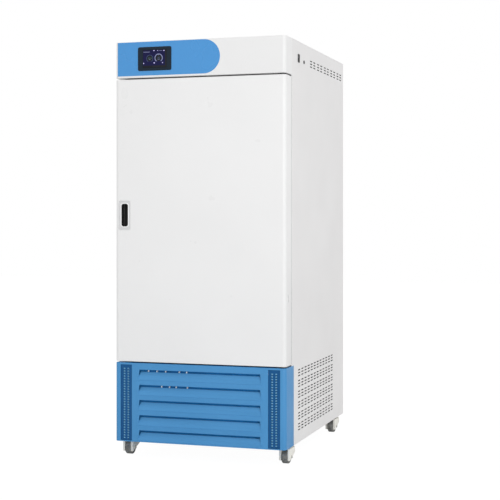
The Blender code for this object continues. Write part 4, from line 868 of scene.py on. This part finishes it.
for side in ("left", "right"):
    low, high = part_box("perforated_strip_" + side)
    sheet = block("vent_strip_" + side, low, high)
    hoods, slots = [], []
    for across, lean in ((-COLUMN_OFFSET, HOOD_LEAN), (COLUMN_OFFSET, -HOOD_LEAN)):
        hood = small_hood(low.y)
        slot = block("hood_slot", (-0.0030, low.y - 0.002, -0.0042), (0.0030, high.y + 0.002, -0.0024))
        leaning = Matrix.Rotation(lean, 4, "Y")
        column = Vector(((low.x + high.x) / 2 + across, 0, low.z + 0.001 + FIRST_ROW))
        for row in range(ROWS):
            spot = Matrix.Translation(column + Vector((0, 0, row * ROW_PITCH))) @ leaning
            hoods.append(copy_of(hood, "hood", spot))
            slots.append(copy_of(slot, "hood_slot", spot))
        bpy.data.objects.remove(hood)
        bpy.data.objects.remove(slot)
    combine(sheet, join("hood_slots", slots), "DIFFERENCE")
    # The strip takes the painted shade blue and the hoods the painted highlight blue.
    finish(sheet, strip_painted_shade_blue, ["perforated_strip_" + side])
    finish(join("strip_hoods_" + side, hoods), hood_painted_highlight_blue)
    print(side, "strip hoods:", ROWS * 2)

# %% [markdown]
# ## Behind the slots
# Black mats lie behind the slots in the sides, so nothing bright shows through them. Their black
# is painted shade that stands in for the dark inside of the cabinet. Each is a thin block whose
# face is drawn in to a quilted pad.

# %% Black mats behind the slots, painted shade
MAT_THICK = 0.004
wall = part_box("right_side_panel")[1].x
inside = wall - 0.0030
mats = (("lower", -0.330, 0.430, 0.0970, 0.3370), ("upper", -0.130, 0.440, 1.4800, 1.5400))
# Each mat is near black: painted shade for the dark inside behind the slots.
for label, front, back, foot, head in mats:
    mat = block("slot_shade_mat_" + label, (inside - MAT_THICK, front, foot), (inside, back, head))
    press(mat, facing(0, 1), (0.004, 0), (0.003, -0.0015))
    soften(mat, 0.0008, 2)
    finish(mat, slot_painted_shade_black)
    other = copy_of(mat, "slot_shade_mat_" + label + "_left", Matrix.Diagonal((-1, 1, 1, 1)))
    choose(other, "FACE", lambda f: True)
    bpy.ops.mesh.flip_normals()
    close_edit()
    finish(other, slot_painted_shade_black)
print("filter mats:", 2 * len(mats))

# %% [markdown]
# ## Switch, fuse and inlet
# On the right side sit a small rocker switch, marked with a bar and a ring for on and off, and
# the round cap of a fuse. The mains inlet is low on the back.

# %% Rocker switch
switch_low, switch_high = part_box("switch_housing")
rocker_low, rocker_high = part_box("power_rocker")
rim = 0.0015
room = Vector((0, 0.0006, 0.0012))
switch = rounded_block("switch_frame", (wall - 0.012, switch_low.y + rim, switch_low.z + rim),
                       (wall + 0.0003, switch_high.y - rim, switch_high.z - rim), 0, 0.001, 3)
rim_low = (wall + 0.0002, switch_low.y, switch_low.z)
combine(switch, rounded_block("switch_rim", rim_low, switch_high, 0, 0.003, 5), "UNION")
opening_low, opening_high = rocker_low - room, rocker_high + room
opening_low.x, opening_high.x = wall - 0.0105, wall + PAST
combine(switch, block("switch_opening", opening_low, opening_high), "DIFFERENCE")
soften(switch, 0.0004, 2, 50)
finish(switch, matt_black, ["switch_housing"])
print("switch opening:", round(opening_high.z - opening_low.z, 4))


# %% Marks on the rocker
def on_rocker(mark, x, z, tilt):
    """Lay a mark on one of the two faces of the rocker."""
    spot = Vector((x, (rocker_low.y + rocker_high.y) / 2, z))
    mark.data.transform(Matrix.Translation(spot) @ Matrix.Rotation(math.radians(tilt), 4, "Y"))


bar = rounded_block("mark_on", (-0.0002, -0.0004, -0.0021), (0.0001, 0.0004, 0.0021), 0, 0.0002, 2)
on_rocker(bar, rocker_high.x - 0.0015, rocker_high.z - 0.0067, 15.5)
circle = round_bar("mark_off", (-0.0002, 0, 0), (0.0001, 0, 0), 0.0021, 32)
combine(circle, round_bar("mark_hole", (-PAST, 0, 0), (PAST, 0, 0), 0.0014, 32), "DIFFERENCE")
on_rocker(circle, rocker_high.x - 0.0029, rocker_low.z + 0.0058, -1.5)
finish(join("rocker_marks", [bar, circle]), clip_white, body="rocker")
print("rocker marked")

# %% Fuse cap
fuse_low, fuse_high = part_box("fuse_holder")
across, up = (fuse_low.y + fuse_high.y) / 2, (fuse_low.z + fuse_high.z) / 2
fuse = round_bar("fuse_cap", (fuse_low.x, across, up), (wall + 0.0004, across, up), 0.006, 32)
combine(fuse, round_bar("fuse_rim", (wall + 0.0003, across, up), (fuse_high.x, across, up), 0.007, 32),
        "UNION")
combine(fuse, block("fuse_slot", (fuse_high.x - 0.0009, across - 0.0048, up - 0.0007),
                    (fuse_high.x + 0.001, across + 0.0048, up + 0.0007)), "DIFFERENCE")
soften(fuse, 0.0003, 2, 50)
finish(fuse, matt_black, ["fuse_holder"])
print("fuse cap radius:", round((fuse_high.z - fuse_low.z) / 2, 4))

# %% Mains inlet
inlet_low, inlet_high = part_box("power_inlet")
inlet_middle = (inlet_low + inlet_high) / 2
inlet = rounded_block("mains_inlet", inlet_low, inlet_high, 1, 0.003, 4)
socket_low = (inlet_middle.x - 0.0130, inlet_low.y + 0.006, inlet_middle.z - 0.009)
socket_high = (inlet_middle.x + 0.0130, inlet_high.y + PAST, inlet_middle.z + 0.009)
combine(inlet, rounded_block("inlet_socket", socket_low, socket_high, 1, 0.003, 4), "DIFFERENCE")
soften(inlet, 0.0004, 2, 50)
finish(inlet, matt_black, ["power_inlet"])
pins = []
for across, up in ((-0.007, -0.0015), (0.0, 0.0020), (0.007, -0.0015)):
    foot = Vector((inlet_middle.x + across, inlet_low.y + 0.005, inlet_middle.z + up))
    pin = block("inlet_pin", foot - Vector((0.001, 0, 0.002)), foot + Vector((0.001, 0.015, 0.002)))
    pins.append(soften(pin, 0.0004, 2))
finish(join("inlet_pins", pins), zinc_plate)
print("inlet pins:", len(pins))

# %% [markdown]
# ## Wire shelves
# Each shelf is a rod bent round into a frame, with thin wires welded across it. The frame is a
# rounded block with a rounded opening, softened until its section is nearly round. One wire is a
# thin bar, and its copies fill the frame. The finished shelf is copied to the two other levels.

# %% Shelves
low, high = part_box("shelf_1")
level = (low.z + high.z) / 2
shelf = rounded_block("wire_shelf_1", low, high, 2, 0.014, 6)
edge = Vector((0.004, 0.004, -PAST))
combine(shelf, rounded_block("shelf_opening", low + edge, high - edge, 2, 0.010, 6), "DIFFERENCE")
soften(shelf, 0.0017, 3, 50)
WIRES = 25
wires = []
for number in range(WIRES):
    x = low.x + (number + 1) * (high.x - low.x) / (WIRES + 1)
    wires.append(round_bar("shelf_wire", (x, low.y + 0.002, level), (x, high.y - 0.002, level),
                           0.0014, 10))
below = level - 0.0008
for share in (0.2, 0.5, 0.8):
    y = low.y + (high.y - low.y) * share
    wires.append(round_bar("shelf_brace", (low.x + 0.002, y, below), (high.x - 0.002, y, below),
                           0.0017, 12))
shelf = join("wire_shelf_1", [shelf] + wires)
finish(shelf, wire_steel, ["shelf_1"])
for name in ("shelf_2", "shelf_3"):
    lift = Matrix.Translation((0, 0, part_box(name)[0].z - low.z))
    finish(copy_of(shelf, "wire_" + name, lift), wire_steel, [name])
print("wires per shelf:", WIRES)

# %% [markdown]
# ## Casters
# Four swivel casters carry the cabinet. Thick pale cheeks hug a dark rubber tyre, and the front
# pair has brake pedals. One caster is modelled with its swivel axis on the origin, and copies
# are turned and moved to the four corners, as the frame's joints say.

# %% Caster fork
joints = {joint["name"]: joint for joint in frame["joints"]}
fork_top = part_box("caster_fork_front_left")[1].z
TRAIL = 0.018
WHEEL = 0.025
BORE = 0.0165
HUB = 0.0168
HALF_TREAD = 0.0120
CHEEK_IN = 0.0130
CHEEK_OUT = 0.0210
CHEEK_FRONT = -0.0405
CHEEK_REAR = 0.0190
CHEEK_FOOT = 0.0128
CHEEK_TOE = 0.0065
CHEEK_SLOPE = 0.46
fork = block("caster_cheeks", (-CHEEK_OUT, CHEEK_FRONT, CHEEK_FOOT), (CHEEK_OUT, CHEEK_REAR, fork_top))
choose(fork, "FACE", lambda f: True)
bpy.ops.mesh.bisect(plane_co=(0, CHEEK_FRONT + CHEEK_TOE, CHEEK_FOOT), plane_no=(0, CHEEK_SLOPE, -1),
                    use_fill=True, clear_outer=True)
close_edit()
round_edges(fork, ends(lambda co: abs(co.y - CHEEK_FRONT) < TOUCH and co.z < 0.02), 0.0035, 5)
soften(fork, 0.0018, 4, 40)
combine(fork, block("wheel_slot", (-CHEEK_IN, -0.06, -PAST), (CHEEK_IN, 0.06, fork_top - 0.0025)),
        "DIFFERENCE")
print("fork faces:", len(fork.data.polygons))

# %% Tyre, hub and axle
axle = Vector((0, -TRAIL, WHEEL))
side = Vector((1, 0, 0))
tyre = round_bar("caster_tyre", axle - side * HALF_TREAD, axle + side * HALF_TREAD, WHEEL, 64)
combine(tyre, round_bar("tyre_hole", axle - side * 0.02, axle + side * 0.02, BORE, 48), "DIFFERENCE")
soften(tyre, 0.0030, 5, 50)
reach = side * (HALF_TREAD - 0.001)
hub = round_bar("caster_hub", axle - reach, axle + reach, HUB, 48)
press(hub, lambda f: abs(f.normal.x) > 0.99,
      (0.0030, 0), (0.0010, -0.0020), (0.0060, 0), (0.0008, 0.0022))
soften(hub, 0.0004, 2, 50)
bolts = []
for way in (-1, 1):
    foot = axle + side * way * (CHEEK_OUT - 0.001)
    washer = round_bar("axle_washer", foot, foot + side * way * 0.0016, 0.0060, 24)
    bolts.append(soften(washer, 0.0003, 2))
    head = round_bar("axle_bolt", foot, foot + side * way * 0.0040, 0.0046, 6)
    bolts.append(soften(head, 0.0005, 2))
bolt = join("caster_bolts", bolts)
print("tyre faces:", len(tyre.data.polygons))

# %% Copy the casters to the corners
CORNERS = ("front_left", "front_right", "rear_left", "rear_right")
for corner in CORNERS:
    pivot = joints["swivel_" + corner]["pos_m"]
    roll = joints["roll_" + corner]["axis"]
    turn = Matrix.Rotation(math.atan2(roll[1], roll[0]), 4, "Z")
    spot = Matrix.Translation((pivot[0], pivot[1], 0)) @ turn
    cheeks = copy_of(fork, "caster_cheeks_" + corner, spot)
    finish(cheeks, caster_cream, ["caster_fork_" + corner], "fork_" + corner)
    finish(copy_of(bolt, "caster_bolts_" + corner, spot), zinc_plate, body="fork_" + corner)
    tread = copy_of(tyre, "caster_tyre_" + corner, spot)
    finish(tread, tread_rubber, ["caster_wheel_" + corner], "wheel_" + corner)
    finish(copy_of(hub, "caster_hub_" + corner, spot), caster_cream, body="wheel_" + corner)
    repaint(zinc_plate, solids["caster_plate_" + corner])
for master in (fork, bolt, tyre, hub):
    bpy.data.objects.remove(master)
repaint(caster_cream, solids["brake_pedal_front_left"], solids["brake_pedal_front_right"])
print("casters:", len(CORNERS))

# %% [markdown]
# ## Screws
# Pan head screws hold the rear panel. One head is a short cylinder with its upper rim rounded and
# a cross cut into it. Copies stand along the edges of the panel.

# %% Rear screws
screw = round_bar("screw_head", (0, 0, 0), (0, 0.0022, 0), 0.0042, 20)
round_edges(screw, ends(lambda co: co.y > 0.002), 0.0012, 3)
for wide, tall in ((0.0022, 0.0005), (0.0005, 0.0022)):
    combine(screw, block("screw_cross", (-wide, 0.0012, -tall), (wide, PAST, tall)), "DIFFERENCE")
rear_low, rear_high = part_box("rear_panel")
foot, head = rear_low.z + 0.012, rear_high.z - 0.012
places = [(x, z) for x in (rear_low.x + 0.010, rear_high.x - 0.010)
          for z in (foot, 0.36, 0.66, 0.96, 1.26, head)]
places += [(x, z) for x in (-0.16, 0.0, 0.16) for z in (foot, head)]
screws = [copy_of(screw, "screw", Matrix.Translation((x, rear_high.y, z))) for x, z in places]
bpy.data.objects.remove(screw)
finish(join("rear_screws", screws), zinc_plate)
print("screws:", len(places))

# %% [markdown]
# ## First look
# The camera stands where the photographer stood: a long lens at half the cabinet's height, held
# level, with the frame shifted down. The light is a bright white studio: an even sky, and one
# large soft lamp on the camera's side, where the glossy film doesn't mirror it.

# %% Camera
camera_data = bpy.data.cameras.new("camera")
camera_data.lens = 88.675
camera_data.sensor_width = 36
camera_data.shift_y = -0.0663
camera = bpy.data.objects.new("camera", camera_data)
camera.location = (1.5561, -4.7202, 0.9077)
camera.rotation_euler = (math.radians(90), 0, 0.3077)
bpy.context.scene.collection.objects.link(camera)
bpy.context.scene.camera = camera

# %% Light and floor
def mix_shaders(tree, share, first, second, output):
    """Blend two shaders by a share into an output node."""
    mixer = tree.nodes.new("ShaderNodeMixShader")
    tree.links.new(share, mixer.inputs["Fac"])
    tree.links.new(first, mixer.inputs[1])
    tree.links.new(second, mixer.inputs[2])
    tree.links.new(mixer.outputs["Shader"], tree.nodes[output].inputs["Surface"])


lamp_data = bpy.data.lights.new("key_lamp", "AREA")
lamp_data.size = 5.0
lamp_data.energy = 215
lamp = bpy.data.objects.new("key_lamp", lamp_data)
lamp.location = (4.81, -6.87, 3.00)
lamp.rotation_euler = (Vector((0, 0, 0.7)) - lamp.location).to_track_quat("-Z", "Y").to_euler()
bpy.context.scene.collection.objects.link(lamp)

world = bpy.data.worlds.new("studio")
bpy.context.scene.world = world
world.use_nodes = True
tree = world.node_tree
sky = tree.nodes["Background"]
white = tree.nodes.new("ShaderNodeBackground")
for light, strength in ((sky, 0.70), (white, 1.0)):
    light.inputs["Color"].default_value = (1, 1, 1, 1)
    light.inputs["Strength"].default_value = strength
path = tree.nodes.new("ShaderNodeLightPath")
seen = path.outputs["Is Camera Ray"]
for kind in ("Is Glossy Ray", "Is Transmission Ray"):
    either = tree.nodes.new("ShaderNodeMath")
    either.operation = "MAXIMUM"
    tree.links.new(seen, either.inputs[0])
    tree.links.new(path.outputs[kind], either.inputs[1])
    seen = either.outputs["Value"]
mix_shaders(tree, seen, sky.outputs["Background"], white.outputs["Background"], "World Output")

only()
bpy.ops.mesh.primitive_plane_add(size=24, location=(0, 0, 0))
floor = keep_new("floor")
floor_paint = bpy.data.materials.new("floor_paint")
floor_paint.use_nodes = True
tree = floor_paint.node_tree
matt = tree.nodes["Principled BSDF"]
matt.inputs["Base Color"].default_value = (0.9, 0.9, 0.9, 1)
matt.inputs["Roughness"].default_value = 0.9
glow = tree.nodes.new("ShaderNodeEmission")
glow.inputs["Strength"].default_value = 1.06
path = tree.nodes.new("ShaderNodeLightPath")
share = tree.nodes.new("ShaderNodeMath")
share.operation = "MULTIPLY"
share.inputs[1].default_value = 0.92
tree.links.new(path.outputs["Is Camera Ray"], share.inputs[0])
mix_shaders(tree, share.outputs["Value"], matt.outputs["BSDF"], glow.outputs["Emission"],
            "Material Output")
floor.data.materials.append(floor_paint)
bpy.context.scene.view_settings.view_transform = "Standard"
print("studio ready")
